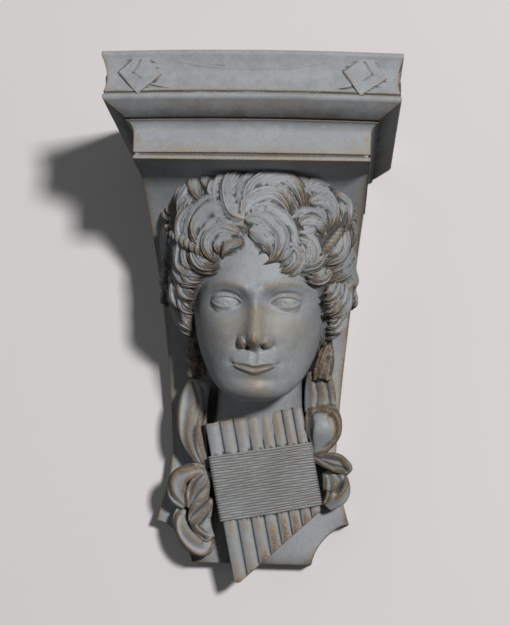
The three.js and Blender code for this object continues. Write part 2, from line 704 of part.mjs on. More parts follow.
function cloths() {
  return [LEFT_CLOTH, RIGHT_CLOTH].flatMap((pieces) => (
    Object.entries(pieces).map(([name, stations]) => (
      cloth(stations, name === "fall" ? FALL_FOLDS : LOOP_FOLDS)
    ))
  ));
}

const wasm = await Module();
wasm.setup();

// A closed geometry as a solid that can be joined to others.
function solid(geometry) {
  const bare = geometry.clone();
  bare.deleteAttribute("normal");
  bare.deleteAttribute("uv");
  const merged = mergeVertices(bare, 1e-4);
  return new wasm.Manifold(new wasm.Mesh({
    numProp: 3,
    vertProperties: new Float32Array(merged.attributes.position.array),
    triVerts: new Uint32Array(merged.index.array),
  }));
}

// One geometry from many that overlap.
function joined(geometries) {
  const whole = geometries.map(solid).reduce((sum, next) => sum.add(next));
  const mesh = whole.getMesh();
  const geometry = new THREE.BufferGeometry();
  geometry.setAttribute("position", new THREE.BufferAttribute(mesh.vertProperties, 3));
  geometry.setIndex(new THREE.BufferAttribute(mesh.triVerts, 1));
  geometry.computeVertexNormals();
  return geometry;
}

const forms = [
  shelf(), ...lozenges(), swag(), consoleBody(), neck(), face(), hairMass(),
  ...[...FRONT_CURLS, ...TEMPLE_CURLS, ...backCurls()].map((row) => curl(row)),
  sideMass(-1), sideMass(1), ...sideCurls(),
  earDrop(-1), earDrop(1), pipeBacking(), pipes(), binding(), ...cloths(),
];

const terracotta = new THREE.MeshStandardMaterial({ color: 0x848e95, roughness: 0.55, metalness: 0 });
const bracket = new THREE.Mesh(joined(forms), terracotta);
bracket.name = "terracotta_bracket";

const object = new THREE.Group();
object.add(bracket);

export default object;
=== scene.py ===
"""Decorative wall bracket of glazed terracotta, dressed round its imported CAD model.

A moulded shelf stands on a tapering console that carries a curly head, a knot
of cloth on each side and a tilted set of pan pipes. Shapes are worked out in
millimetres in the CAD's own frame and turned into metres when a mesh is made.
"""

import sys
import logging
from dataclasses import dataclass, field
from enum import Enum
from typing import Callable

import bpy
import numpy as np
from mathutils import Matrix, Vector


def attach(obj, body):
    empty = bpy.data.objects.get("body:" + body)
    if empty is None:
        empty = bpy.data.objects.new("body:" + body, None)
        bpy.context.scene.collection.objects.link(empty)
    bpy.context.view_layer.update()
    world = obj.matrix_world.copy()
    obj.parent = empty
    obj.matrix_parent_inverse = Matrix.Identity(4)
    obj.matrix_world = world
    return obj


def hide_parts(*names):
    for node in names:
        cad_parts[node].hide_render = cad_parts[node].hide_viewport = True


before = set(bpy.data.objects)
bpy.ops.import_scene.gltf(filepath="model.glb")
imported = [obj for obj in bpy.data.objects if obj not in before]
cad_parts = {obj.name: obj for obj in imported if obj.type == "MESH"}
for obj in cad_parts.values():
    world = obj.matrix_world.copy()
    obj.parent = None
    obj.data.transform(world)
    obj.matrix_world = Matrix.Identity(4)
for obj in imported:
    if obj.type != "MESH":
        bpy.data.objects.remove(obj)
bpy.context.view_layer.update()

log = logging.getLogger("bracket")

NODE = "terracotta_bracket"
METRES = 0.001
PI = np.pi
CLOSE, WIDE = 2, 14    # rounds of averaging for how a surface bends close by and over a patch

# Puts two steps over a surface and a height off it at their points in space.
Placing = Callable[[np.ndarray, np.ndarray, np.ndarray], np.ndarray]


class Side(Enum):
    """The two sides of the bracket, as the sign of x."""

    LEFT = -1
    RIGHT = 1


# Curves and smooth steps


def bell(distance: np.ndarray, width: float) -> np.ndarray:
    """A bell curve of height 1: e to the minus half the square of distance over width.

    Args:
        distance: Distance from the middle.
        width: Distance at which the curve bends over.

    Returns:
        Values from 0 to 1.
    """
    return np.exp(-0.5 * (distance / width) ** 2)


def rise(value: np.ndarray, low: float, high: float) -> np.ndarray:
    """A smooth step, 3 t squared less 2 t cubed, from 0 at low to 1 at high.

    Args:
        value: What is tested.
        low: Where the step starts.
        high: Where it ends.

    Returns:
        Values from 0 to 1.
    """
    share = np.clip((value - low) / (high - low), 0.0, 1.0)
    return share * share * (3.0 - 2.0 * share)


def through(rows: list, place: np.ndarray) -> np.ndarray:
    """A smooth curve through rows, with each row's slope taken from its two neighbours.

    Args:
        rows: Each row is a place and then the values there.
        place: Where the curve is read.

    Returns:
        The values, in a last axis of their own.
    """
    table = np.asarray(rows, float)
    if table[0, 0] > table[-1, 0]:
        table = table[::-1]
    keys, values = table[:, 0], table[:, 1:]
    before = np.maximum(np.arange(len(keys)) - 1, 0)
    after = np.minimum(np.arange(len(keys)) + 1, len(keys) - 1)
    slopes = (values[after] - values[before]) / (keys[after] - keys[before])[:, None]
    place = np.asarray(place, float)
    k = np.clip(np.searchsorted(keys, place, side="right") - 1, 0, len(keys) - 2)
    width = (keys[k + 1] - keys[k])[..., None]
    t = np.clip((place - keys[k])[..., None] / width, 0.0, 1.0)
    return (values[k] * (2 * t**3 - 3 * t**2 + 1) + values[k + 1] * (3 * t**2 - 2 * t**3)
            + slopes[k] * width * (t**3 - 2 * t**2 + t)
            + slopes[k + 1] * width * (t**3 - t**2))


def bumps(rows: tuple, side: np.ndarray, z: np.ndarray) -> np.ndarray:
    """The sum of soft bumps and hollows, each a height times a bell across and a bell up.

    Args:
        rows: Height, place and width across, place and width up of each. A hollow is under 0.
        side: Places across.
        z: Places up.

    Returns:
        The heights.
    """
    return sum(height * bell(side - at, wide) * bell(z - up, tall)
               for height, at, wide, up, tall in rows)


def swell(first: np.ndarray, second: np.ndarray, blend: float) -> np.ndarray:
    """The greater of two surfaces, with the corner between them rounded.

    Args:
        first: Heights of one surface.
        second: Heights of the other.
        blend: How far the rounding reaches.

    Returns:
        Half of their sum and the root of their squared difference and blend squared.
    """
    return 0.5 * (first + second + np.sqrt((first - second) ** 2 + blend**2))


def unevenness(points: np.ndarray, size: float) -> np.ndarray:
    """Slow waves of the hand that modelled the clay: twelve plane sine waves that run all ways.

    Args:
        points: Places, in the last axis.
        size: Wave length in millimetres.

    Returns:
        Values from -1 to 1.
    """
    chance = np.random.default_rng(11)
    ways = chance.normal(0.0, 0.6, (3, 12))
    starts = chance.uniform(0.0, 2 * PI, 12)
    return np.clip(np.sin(points @ ways * (2 * PI / size) + starts).mean(-1) * 2.2, -1, 1)


def xyz(x: np.ndarray, y: np.ndarray, z: np.ndarray) -> np.ndarray:
    """Points from their three coordinates, which are spread to one shape."""
    return np.stack(np.broadcast_arrays(x, y, z), -1)


# Closed surfaces


@dataclass(frozen=True)
class Form:
    """A closed surface, with each point's wear, soiling and painted shade, and depth of fine carving."""

    points: np.ndarray
    faces: np.ndarray
    rub: np.ndarray
    grime_and_shade: np.ndarray
    carve: np.ndarray


def loft(rings: np.ndarray, rub: np.ndarray | float = 0.0, grime_and_shade: np.ndarray | float = 0.0,
         carve: np.ndarray | float = 0.0) -> Form:
    """A closed surface through a stack of rings, each end closed by a fan round its middle.

    Args:
        rings: Points, as ring, place round the ring and coordinate.
        rub: Wear at each point, or for all.
        grime_and_shade: Soiling and painted shade at each point, or for all.
        carve: Depth of the fine carving, cut in once the forms have been blended.

    Returns:
        The surface, facing outwards.
    """
    count, around = rings.shape[:2]
    index = np.arange(count * around).reshape(count, around)
    onward = np.roll(index, -1, axis=1)
    a, b, c, d = index[:-1], onward[:-1], onward[1:], index[1:]
    first, last = count * around, count * around + 1
    faces = np.concatenate([
        np.stack([a, b, c], -1).reshape(-1, 3),
        np.stack([a, c, d], -1).reshape(-1, 3),
        np.stack([np.full(around, first), onward[0], index[0]], -1),
        np.stack([np.full(around, last), index[-1], onward[-1]], -1),
    ])
    points = np.concatenate([rings.reshape(-1, 3), rings[:1].mean(1), rings[-1:].mean(1)])
    corners = points[faces]
    if np.einsum("ij,ij->", corners[:, 0], np.cross(corners[:, 1], corners[:, 2])) < 0:
        faces = faces[:, ::-1]
    spread = [np.broadcast_to(value, (count, around)) for value in (rub, grime_and_shade, carve)]
    marks = [np.concatenate([s.ravel(), [s[0].mean(), s[-1].mean()]]) for s in spread]
    return Form(points, faces, *marks)


def softened(profile: np.ndarray, radius: float) -> np.ndarray:
    """A profile with a small round in each corner and a point to each side that holds it.

    Args:
        profile: Corner points, one row each.
        radius: How far the round reaches along both sides.

    Returns:
        The finer profile.
    """
    before, here, after = profile[:-2], profile[1:-1], profile[2:]

    def toward(end: np.ndarray, reach: float) -> np.ndarray:
        """The point at `reach` from the corner, and no further than nearly half way.

        Args:
            end: The other end of each side.
            reach: Distance from the corner.

        Returns:
            The points.
        """
        step = end - here
        length = np.linalg.norm(step, axis=1, keepdims=True)
        return here + step * np.minimum(reach, 0.45 * length) / length

    near = toward(before, radius), toward(after, radius)
    far = toward(before, 2.6 * radius), toward(after, 2.6 * radius)
    middle = 0.25 * near[0] + 0.5 * here + 0.25 * near[1]
    corners = np.stack([far[0], near[0], middle, near[1], far[1]], 1).reshape(-1, 2)
    return np.concatenate([profile[:1], corners, profile[-1:]])


def slab_rings(half: np.ndarray, depth: np.ndarray, z: np.ndarray, radius: float,
               across: int, along: int) -> np.ndarray:
    """Level rings of a slab that stands against the wall, its front corners rounded.

    Args:
        half: Half the width of each ring.
        depth: Distance of each ring's front from the wall.
        z: Height of each ring.
        radius: Radius of the corners.
        across: Points over the front.
        along: Points along each side.

    Returns:
        The rings' points.
    """
    corner = radius * np.array([[0, 2.6], [0, 1], [0.29, 0.29], [1, 0], [2.6, 0]])
    half, depth = half[:, None], depth[:, None]
    share = np.linspace(0, 1, along)[None, :-1]
    left_x = np.concatenate([-half + 0 * share, -half + corner[:, 0]], 1)
    left_y = np.concatenate([(corner[0, 1] - depth) * share, corner[:, 1] - depth], 1)
    middle = np.linspace(-1, 1, across)[None, 1:-1] * (half - corner[-1, 0])
    back = np.linspace(1, -1, 12)[None, 1:-1] * half
    x = np.concatenate([left_x, middle, -left_x[:, ::-1], back], 1)
    y = np.concatenate([left_y, -depth + 0 * middle, left_y[:, ::-1], 0 * back], 1)
    return np.stack([x, y, z[:, None] + 0 * x], -1)


# Meshes


def set_points(mesh: bpy.types.Mesh, points: np.ndarray) -> None:
    """Moves a mesh's vertices to points given in millimetres."""
    mesh.vertices.foreach_set("co", (points * METRES).astype(np.float32).ravel())


def bare_mesh(name: str, form: Form) -> bpy.types.Mesh:
    """A mesh of a form in metres, with its wear, grime and carving as attributes.

    Args:
        name: The mesh's name.
        form: The closed surface.

    Returns:
        The mesh.
    """
    mesh = bpy.data.meshes.new(name)
    count = len(form.faces)
    mesh.vertices.add(len(form.points))
    set_points(mesh, form.points)
    mesh.loops.add(3 * count)
    mesh.loops.foreach_set("vertex_index", form.faces.astype(np.int32).ravel())
    mesh.polygons.add(count)
    mesh.polygons.foreach_set("loop_start", np.arange(count, dtype=np.int32) * 3)
    for label, values in (("rub", form.rub), ("grime_and_shade", form.grime_and_shade), ("carve", form.carve)):
        mesh.attributes.new(label, "FLOAT", "POINT").data.foreach_set(
            "value", values.astype(np.float32))
    mesh.update(calc_edges=True)
    return mesh


def fused(name: str, forms: list[Form]) -> bpy.types.Object:
    """One closed piece from forms that overlap, joined by a Boolean.

    Args:
        name: The piece's name.
        forms: The closed surfaces.

    Returns:
        The object, at the origin.
    """
    first, *others = [bpy.data.objects.new(f"{name}_{k}", bare_mesh(name, form))
                      for k, form in enumerate(forms)]
    bpy.context.scene.collection.objects.link(first)
    operands = bpy.data.collections.new(name + "_operands")
    bpy.context.scene.collection.children.link(operands)
    for other in others:
        operands.objects.link(other)
    if others:
        join = first.modifiers.new("join", "BOOLEAN")
        join.operation = "UNION"
        join.solver = "MANIFOLD"
        join.operand_type = "COLLECTION"
        join.collection = operands
    graph = bpy.context.evaluated_depsgraph_get()
    mesh = bpy.data.meshes.new_from_object(
        first.evaluated_get(graph), preserve_all_data_layers=True, depsgraph=graph)
    for used in [first, *others]:
        spent = used.data
        bpy.data.objects.remove(used)
        bpy.data.meshes.remove(spent)
    bpy.data.collections.remove(operands)
    mesh.name = name
    piece = bpy.data.objects.new(name, mesh)
    bpy.context.scene.collection.objects.link(piece)
    return piece


def read(data: bpy.types.bpy_prop_collection, label: str, width: int) -> np.ndarray:
    """A property of every item of a mesh collection.

    Args:
        data: The collection.
        label: The property's name.
        width: How many numbers an item has.

    Returns:
        A row of `width` numbers for each item.
    """
    values = np.zeros(len(data) * width, np.float32)
    data.foreach_get(label, values)
    return values.reshape(-1, width).astype(float)


def edge_ends(mesh: bpy.types.Mesh) -> tuple[np.ndarray, np.ndarray]:
    """The vertices at the two ends of every edge.

    Args:
        mesh: The mesh.

    Returns:
        The first and the last vertex of each edge.
    """
    ends = np.zeros(len(mesh.edges) * 2, np.int32)
    mesh.edges.foreach_get("vertices", ends)
    return ends[::2], ends[1::2]


def neighbour_mean(ends: tuple[np.ndarray, np.ndarray], near: np.ndarray,
                   value: np.ndarray) -> np.ndarray:
    """The mean of each vertex's neighbours: the sum of weight and value over the sum of weights.

    Args:
        ends: The vertices at both ends of each edge.
        near: The weight of each edge.
        value: A value for each vertex.

    Returns:
        The means.
    """
    a, b = ends
    count = len(value)
    share = np.bincount(a, near, count) + np.bincount(b, near, count)
    return (np.bincount(a, near * value[b], count) + np.bincount(b, near * value[a], count)) / share


def bending(mesh: bpy.types.Mesh, rounds: int) -> np.ndarray:
    """How sharply the surface bends at each point, per millimetre, above 0 where it bulges.

    Along each edge it is twice the drop below the tangent plane over the edge's square.
    The mean over a point's edges, shorter ones first, is averaged with its neighbours'
    `rounds` times.

    Args:
        mesh: A mesh in metres.
        rounds: Rounds of averaging.

    Returns:
        A value for each vertex.
    """
    points = read(mesh.vertices, "co", 3) / METRES
    normals = read(mesh.vertex_normals, "vector", 3)
    a, b = edge_ends(mesh)
    step = points[b] - points[a]
    square = np.maximum((step**2).sum(1), 0.04)
    length = np.sqrt(square)
    weight = 1.0 / np.maximum(length, 0.5)
    count = len(points)
    drop_a = -2 * (normals[a] * step).sum(1) / square * weight
    drop_b = 2 * (normals[b] * step).sum(1) / square * weight
    total = np.bincount(a, weight, count) + np.bincount(b, weight, count)
    value = (np.bincount(a, drop_a, count) + np.bincount(b, drop_b, count)) / np.maximum(total, 1e-9)
    value = np.clip(value, -2.5, 2.5)
    near = 1.0 / np.maximum(length, 0.3)
    for _ in range(rounds):
        value = 0.5 * value + 0.5 * neighbour_mean((a, b), near, value)
    return value


def relaxed(mesh: bpy.types.Mesh, points: np.ndarray, rounds: int) -> np.ndarray:
    """Points drawn half way to the mean of their neighbours, near ones first, `rounds` times.

    Args:
        mesh: The mesh that tells which points are neighbours.
        points: The points.
        rounds: How often they are drawn.

    Returns:
        The softened points.
    """
    a, b = edge_ends(mesh)
    for _ in range(rounds):
        near = 1.0 / np.maximum(np.linalg.norm(points[a] - points[b], axis=1), 0.25)
        mean = [neighbour_mean((a, b), near, points[:, k]) for k in range(3)]
        points = 0.5 * points + 0.5 * np.stack(mean, 1)
    return points


def finished(piece: bpy.types.Object, material: bpy.types.Material, uneven: float,
             sharp: float, soft: int = 0, marks: float = 1.0) -> bpy.types.Object:
    """Gives a fused piece its softness, its fine carving, its wear and its material.

    The carving moves each point in along its normal, and so does the unevenness, slow
    waves that die out at the wall. Wear is the form's own plus smooth steps of how
    sharply the blended piece bulges, close by and over a wider patch. The darkening is
    the form's own plus the same of how deep the carved piece's hollows are: partly
    soiling, partly painted shade in the creases.

    Args:
        piece: The fused piece.
        material: The finish.
        uneven: Height of the waves in millimetres.
        sharp: Degrees above which an edge stays sharp.
        soft: Rounds of softening, which blend the forms where they meet.
        marks: How strongly its bulges are rubbed and its creases darkened, as soiling and painted shade.

    Returns:
        The same piece.
    """
    mesh = piece.data
    rub, grime_and_shade, carve = (read(mesh.attributes[label].data, "value", 1)[:, 0]
                         for label in ("rub", "grime_and_shade", "carve"))
    points = relaxed(mesh, read(mesh.vertices, "co", 3) / METRES, soft)
    set_points(mesh, points)
    mesh.update()
    bulge = (0.45 * rise(bending(mesh, CLOSE), 0.12, 0.7)
             + 0.55 * rise(bending(mesh, WIDE), 0.03, 0.16))
    normals = read(mesh.vertex_normals, "vector", 3)
    waves = 0.6 * unevenness(points, 34.0) + 0.4 * unevenness(points, 11.0)
    off_wall = rise(-points[:, 1], 1.0, 8.0)
    points -= normals * (carve + uneven * (0.5 + 0.5 * waves) * off_wall)[:, None]
    set_points(mesh, points)
    mesh.update()
    # How deep the creases are: they are darkened as painted shade, with some soiling.
    hollow = (0.7 * rise(-bending(mesh, CLOSE), 0.1, 0.7)
              + 0.5 * rise(-bending(mesh, WIDE), 0.05, 0.25))
    for label, value in (("rub", rub + marks * bulge), ("grime_and_shade", grime_and_shade + marks * hollow)):
        mesh.attributes[label].data.foreach_set("value", np.clip(value, 0, 1).astype(np.float32))
    mesh.polygons.foreach_set("use_smooth", np.ones(len(mesh.polygons), bool))
    mesh.set_sharp_from_angle(angle=np.radians(sharp))
    mesh.materials.clear()
    mesh.materials.append(material)
    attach(piece, "root")
    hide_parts(NODE)
    log.info("%s: %d triangles", piece.name, len(mesh.polygons))
    return piece


# Sizes that more than one sub-assembly uses


@dataclass(frozen=True)
class Layout:
    """Heights and widths of the whole bracket, in millimetres."""

    height: float = 485.0
    shelf_width: float = 285.0
    shelf_depth: float = 254.5
    frieze_height: float = 44.5
    underside: float = 141.2
    head_side: float = 6.0
    head_projection: float = 112.0
    eyes: float = 22.7
    plate: float = 28.0
    root: float = 5.0

    @property
    def top(self) -> float:
        """Height of the shelf's top."""
        return self.height / 2

    @property
    def foot(self) -> float:
        """Height of the foot of the back plate."""
        return -self.height / 2


LAYOUT = Layout()


@dataclass(frozen=True)
class Shelf:
    """The moulded shelf with its lozenges and the low swag between them."""

    lip: float = 1.5
    lip_height: float = 4.0
    hollow: float = 3.75
    quirk_depth: float = 2.6
    quirk_height: float = 1.3
    fillet_height: float = 6.3
    fillet_round: float = 1.5
    soffit_run: float = 20.5
    soffit_drop: float = 12.8
    groove_depth: float = 4.0
    groove_height: float = 1.5
    cove_lip: float = 1.2
    cove_depth: float = 7.5
    cove_height: float = 10.5
    necking_height: float = 18.5
    bead_groove: float = 2.0
    arris: float = 0.7
    bow: float = 2.6
    droop: float = 3.6
    lozenge_size: float = 42.5
    lozenge_inset: float = 35.5
    lozenge_drop: float = 24.2
    lozenge_relief: float = 3.6
    lozenge_least: float = 1.3
    arrow_depth: float = 1.1
    arrow_width: float = 0.55
    lozenge_turns: tuple[float, float] = (-3.0, -10.0)
    swag_drop: float = 12.8
    swag_relief: float = 1.5
    swag_cord: float = 0.75

    def band(self, share: np.ndarray) -> np.ndarray:
        """How far the hollow band lies inside the fillet: a tilted line and a parabola."""
        return (-self.lip + 1.7 * self.lip * share) + self.hollow * 4 * share * (1 - share)

    def profile(self) -> np.ndarray:
        """The moulding's corners as inset and height, from the top down.

        Returns:
            One row for each corner.
        """
        share, bulge = np.linspace(0, 1, 13), np.linspace(0, 1, 9)
        top = LAYOUT.top
        fillet = top - LAYOUT.frieze_height
        band_foot = fillet + self.quirk_height
        edge = fillet - self.fillet_height
        soffit = edge - self.soffit_drop
        cove_top = soffit - self.groove_height
        cove_foot = cove_top - self.cove_lip - self.cove_height
        bead_top = cove_foot - self.necking_height - self.bead_groove
        inner = self.soffit_run + self.groove_depth
        neck = self.soffit_run + self.cove_depth
        turn = np.linspace(0, PI / 2, 10)
        under = neck + self.bead_groove
        rows = [
            np.array([[14.0, top], [-self.lip, top]]),
            np.stack([self.band(share), top - self.lip_height
                      - (LAYOUT.frieze_height - self.lip_height - self.quirk_height) * share], 1),
            np.array([[self.quirk_depth, band_foot], [self.quirk_depth, fillet]]),
            np.stack([self.fillet_round * (1 - np.sin(PI * bulge)),
                      fillet - self.fillet_height * bulge], 1),
            np.array([[self.soffit_run, soffit], [inner, soffit],
                      [inner, cove_top], [self.soffit_run, cove_top]]),
            np.stack([self.soffit_run + self.cove_depth * np.sin(turn),
                      cove_foot + self.cove_height * np.cos(turn)], 1),
            np.array([[neck, bead_top + self.bead_groove], [under, bead_top + self.bead_groove],
                      [under, bead_top], [neck, bead_top], [neck, LAYOUT.underside],
                      [neck + 14.0, LAYOUT.underside]]),
        ]
        return np.concatenate(rows)

    def moulding(self) -> Form:
        """The shelf: its profile carried round the front and both sides on a mitre.

        It is bowed as fired clay is: up in the middle by a parabola, while its band sinks
        by a smooth step of the height. The lips are kept from wear, and the sloping
        underside is darkened with painted shade.

        Returns:
            The closed surface.
        """
        inset, z = softened(self.profile(), self.arris).T
        rings = slab_rings(LAYOUT.shelf_width / 2 - inset, LAYOUT.shelf_depth - inset, z,
                           self.arris, 72, 48)
        out = np.clip(np.abs(rings[..., 0]) / (LAYOUT.shelf_width / 2), 0, 1)
        height = rings[..., 2]
        band = rise(height, LAYOUT.top - LAYOUT.frieze_height, LAYOUT.top)
        rings[..., 2] = height + self.bow * (1 - out**2) * rise(
            height, LAYOUT.underside, LAYOUT.underside + 14) - self.droop * band
        edge = LAYOUT.top - LAYOUT.frieze_height - self.fillet_height
        # Mask of the sloping underside, darkened as painted shade.
        soffit = rise(edge - z, 0.5, 3.0) * rise(z - edge + self.soffit_drop + 3, 0, 2.0)
        lips = rise(z - edge, -0.6, 0.6) * (1 - rise(z - edge, 3.5, 5.5)) + rise(z - LAYOUT.top, -5, -4)
        return loft(rings, -0.3 * lips[:, None], 0.7 * soffit[:, None])

    def band_front(self, z: np.ndarray) -> np.ndarray:
        """How far the hollow band lies inside the fillet at a height."""
        whole = LAYOUT.frieze_height - self.lip_height - self.quirk_height
        return self.band(np.clip((LAYOUT.top - self.lip_height - z) / whole, 0, 1))

    def lozenge(self, place: Placing, turn: float, way: int) -> Form:
        """A square plate on its corner, flush at the top and proud at the foot.

        Its relief is a smooth step of the height, and it is cut by an arrow line: a bell of
        the distance from two strokes that meet at the arrow's point.

        Args:
            place: Puts side step, rise and relief on the shelf.
            turn: Degrees off upright.
            way: Which way the arrow points, as the sign of its side step.

        Returns:
            The closed surface.
        """
        reach = self.lozenge_size / 2
        edge = np.concatenate([[-1, -0.985, -0.96], np.linspace(-0.92, 0.92, 58), [0.96, 0.985, 1]])
        along, across = edge[:, None], edge[None, :]
        spin = np.radians(turn)
        step, up = (along + across) * reach / 2, (across - along) * reach / 2
        step, up = step * np.cos(spin) - up * np.sin(spin), step * np.sin(spin) + up * np.cos(spin)
        near = np.minimum(1 - np.abs(along), 1 - np.abs(across)) * reach / 1.4
        least, most = self.lozenge_least, self.lozenge_relief
        relief = least + (most - least) * rise(-up, -0.8 * reach, 0.45 * reach)
        relief = relief - 0.7 * (1 - rise(near, 0, 1.4))
        point = np.array([way * 0.32 * reach, 0.02 * reach])
        for end in (np.array([-way * 0.03, 0.58]) * reach, np.array([-way * 0.03, -0.24]) * reach):
            stroke = end - point
            share = ((step - point[0]) * stroke[0] + (up - point[1]) * stroke[1]) / (stroke @ stroke)
            share = np.clip(share, 0, 1)
            off = np.hypot(step - point[0] - share * stroke[0], up - point[1] - share * stroke[1])
            relief = relief - self.arrow_depth * bell(off, self.arrow_width)
        ends = xyz(*(np.stack([part[:, -1], part[:, 0]], 1) for part in (step, up)), 0 * along)
        back = place(ends[..., 0], ends[..., 1], -LAYOUT.root + 0 * along)
        return loft(np.concatenate([place(step, up, relief), back], 1))

    def lozenges(self) -> list[Form]:
        """The two lozenges of the front and one on each side.

        Returns:
            The four closed surfaces.
        """
        middle = LAYOUT.top - self.lozenge_drop
        aside = LAYOUT.shelf_width / 2 - self.lozenge_inset
        back = LAYOUT.shelf_depth - self.lozenge_inset
        made = []
        for side, turn in zip(Side, self.lozenge_turns):
            way = side.value

            def front(step: np.ndarray, up: np.ndarray, relief: np.ndarray) -> np.ndarray:
                """Puts a point on the front."""
                out = LAYOUT.shelf_depth + np.minimum(relief - self.band_front(middle + up), 0)
                return xyz(way * aside + step, -out, middle + up)

            def flank(step: np.ndarray, up: np.ndarray, relief: np.ndarray) -> np.ndarray:
                """Puts a point on the side."""
                out = LAYOUT.shelf_width / 2 + np.minimum(relief - self.band_front(middle + up), 0)
                return xyz(way * out, -back - step, middle + up)

            made += [self.lozenge(front, turn, way), self.lozenge(flank, turn, way)]
        return made

    def swag(self) -> Form:
        """The low swag: a thin raised cord along its sagging top, and a step under each end.

        Both edges sag as a power of the share of the way out. The cord is a smooth step
        up and a slower one down, and it fades at both ends.

        Returns:
            The closed surface.
        """
        reach = LAYOUT.shelf_width / 2 - self.lozenge_inset - self.lozenge_size * 0.26
        middle = LAYOUT.top - self.lozenge_drop
        x = np.linspace(-reach, reach, 110)[:, None]
        out = np.abs(x) / reach
        down = np.concatenate([np.linspace(0, 0.16, 12), np.linspace(0.2, 0.9, 14),
                               np.linspace(0.93, 1, 6)])[None, :]
        sag = 1 - out**2.6
        upper = middle + self.lozenge_size * 0.5 - self.swag_drop * sag
        lower = middle - self.lozenge_size * 0.28 - self.swag_drop * 0.62 * sag
        z = upper + (lower - upper) * down
        under = upper - z
        cord = self.swag_cord * rise(under, 0, 1.6) * (1 - 0.75 * rise(under, 1.6, 5.0))
        cord *= 1 - rise(down, 0.3, 0.8)
        step = self.swag_relief * rise(out, 0.6, 0.92) * rise(down, 0.35, 0.9)
        relief = (cord * (1 - rise(out, 0.86, 0.96)) + step) * (1 - rise(down, 0.97, 1.0)) - 0.25
        front = xyz(x, self.band_front(z) - LAYOUT.shelf_depth - relief, z)
        back = xyz(x, LAYOUT.root - LAYOUT.shelf_depth, z)[:, ::-1]
        return loft(np.concatenate([front, back], 1))

    def forms(self) -> list[Form]:
        """Everything that the shelf is made of."""
        return [self.moulding(), *self.lozenges(), self.swag()]


@dataclass(frozen=True)
class Console:
    """The tapering console and the back plate with its scooped corners."""

    top_width: float = 226.0
    projection: float = 182.0
    waist_width: float = 174.0
    waist_height: float = 116.0
    wing_width: float = 204.0
    scoop_height: float = 43.0
    scoop_width: float = 39.0
    scoop_curve: float = 1.6
    arris: float = 1.3
    foot_round: tuple[float, float, float] = (0.4, 1.3, 3.4)
    worn_sides: float = 5.0
    worn_foot: float = 10.0
    darkened_below: tuple[float, float] = (25.0, 90.0)

    def half_width(self, z: np.ndarray) -> np.ndarray:
        """Half the width: powers of the height over and under the waist, then a hollow corner.

        Args:
            z: Heights.

        Returns:
            Half the width at each height.
        """
        waist, wing = LAYOUT.foot + self.waist_height, LAYOUT.foot + self.scoop_height
        narrow = self.waist_width / 2
        above = np.clip((z - waist) / (LAYOUT.underside - waist), 0, None) ** 1.3
        below = np.clip((waist - z) / (waist - wing), 0, None) ** 1.6
        share = np.clip((z - LAYOUT.foot) / self.scoop_height, 0, 1) ** self.scoop_curve
        scoop = self.scoop_width * (1 - share) ** (1 / self.scoop_curve)
        taper = narrow + (self.top_width / 2 - narrow) * above
        flare = narrow + (self.wing_width / 2 - narrow) * below
        return np.where(z > waist, taper, np.where(z > wing, flare, self.wing_width / 2 - scoop))

    def depth(self, z: np.ndarray) -> np.ndarray:
        """Distance of the front from the wall: a steep power of the height."""
        share = np.clip((z - LAYOUT.foot) / (LAYOUT.underside - LAYOUT.foot), 0, 1)
        return LAYOUT.plate + (self.projection - LAYOUT.plate) * share**4.8

    def forms(self) -> list[Form]:
        """Level rings from the shelf to the foot, whose edge is rounded.

        Its wear is e to the minus the distance from the side edges and from the foot, each
        over a reach, times slow unevenness, and so is a darkening, which is only low down.

        Returns:
            The console's closed surface.
        """
        wing = LAYOUT.foot + self.scoop_height
        near, middle, far = self.foot_round
        turn = np.linspace(0, PI / 2, 26)[1:-1]
        z = np.concatenate([
            [LAYOUT.underside + LAYOUT.root], np.linspace(LAYOUT.underside, wing + far, 120),
            [wing + middle, wing + near, wing], LAYOUT.foot + self.scoop_height * np.cos(turn),
            [LAYOUT.foot + far, LAYOUT.foot + middle],
        ])
        z = np.unique(z)[::-1]
        half, depth = self.half_width(z), self.depth(z)
        z = np.concatenate([z, [LAYOUT.foot, LAYOUT.foot]])
        half = np.concatenate([half, [half[-1] - near, half[-1] - far]])
        depth = np.concatenate([depth, [depth[-1] - near, depth[-1] - far]])
        rings = slab_rings(half, depth, z, self.arris, 90, 34)
        inward = np.clip(half[:, None] - np.abs(rings[..., 0]), 0, None)
        height = rings[..., 2] - LAYOUT.foot
        edges = np.exp(-inward / self.worn_sides) + np.exp(-np.clip(height, 0, None) / self.worn_foot)
        # Darker low down, more so near the edges.
        low = 1 - rise(height, *self.darkened_below)
        uneven = 0.75 + 0.5 * unevenness(rings, 60.0)
        return [loft(rings, (0.08 + 0.4 * edges) * uneven, low * (0.5 + 0.3 * edges) * uneven)]


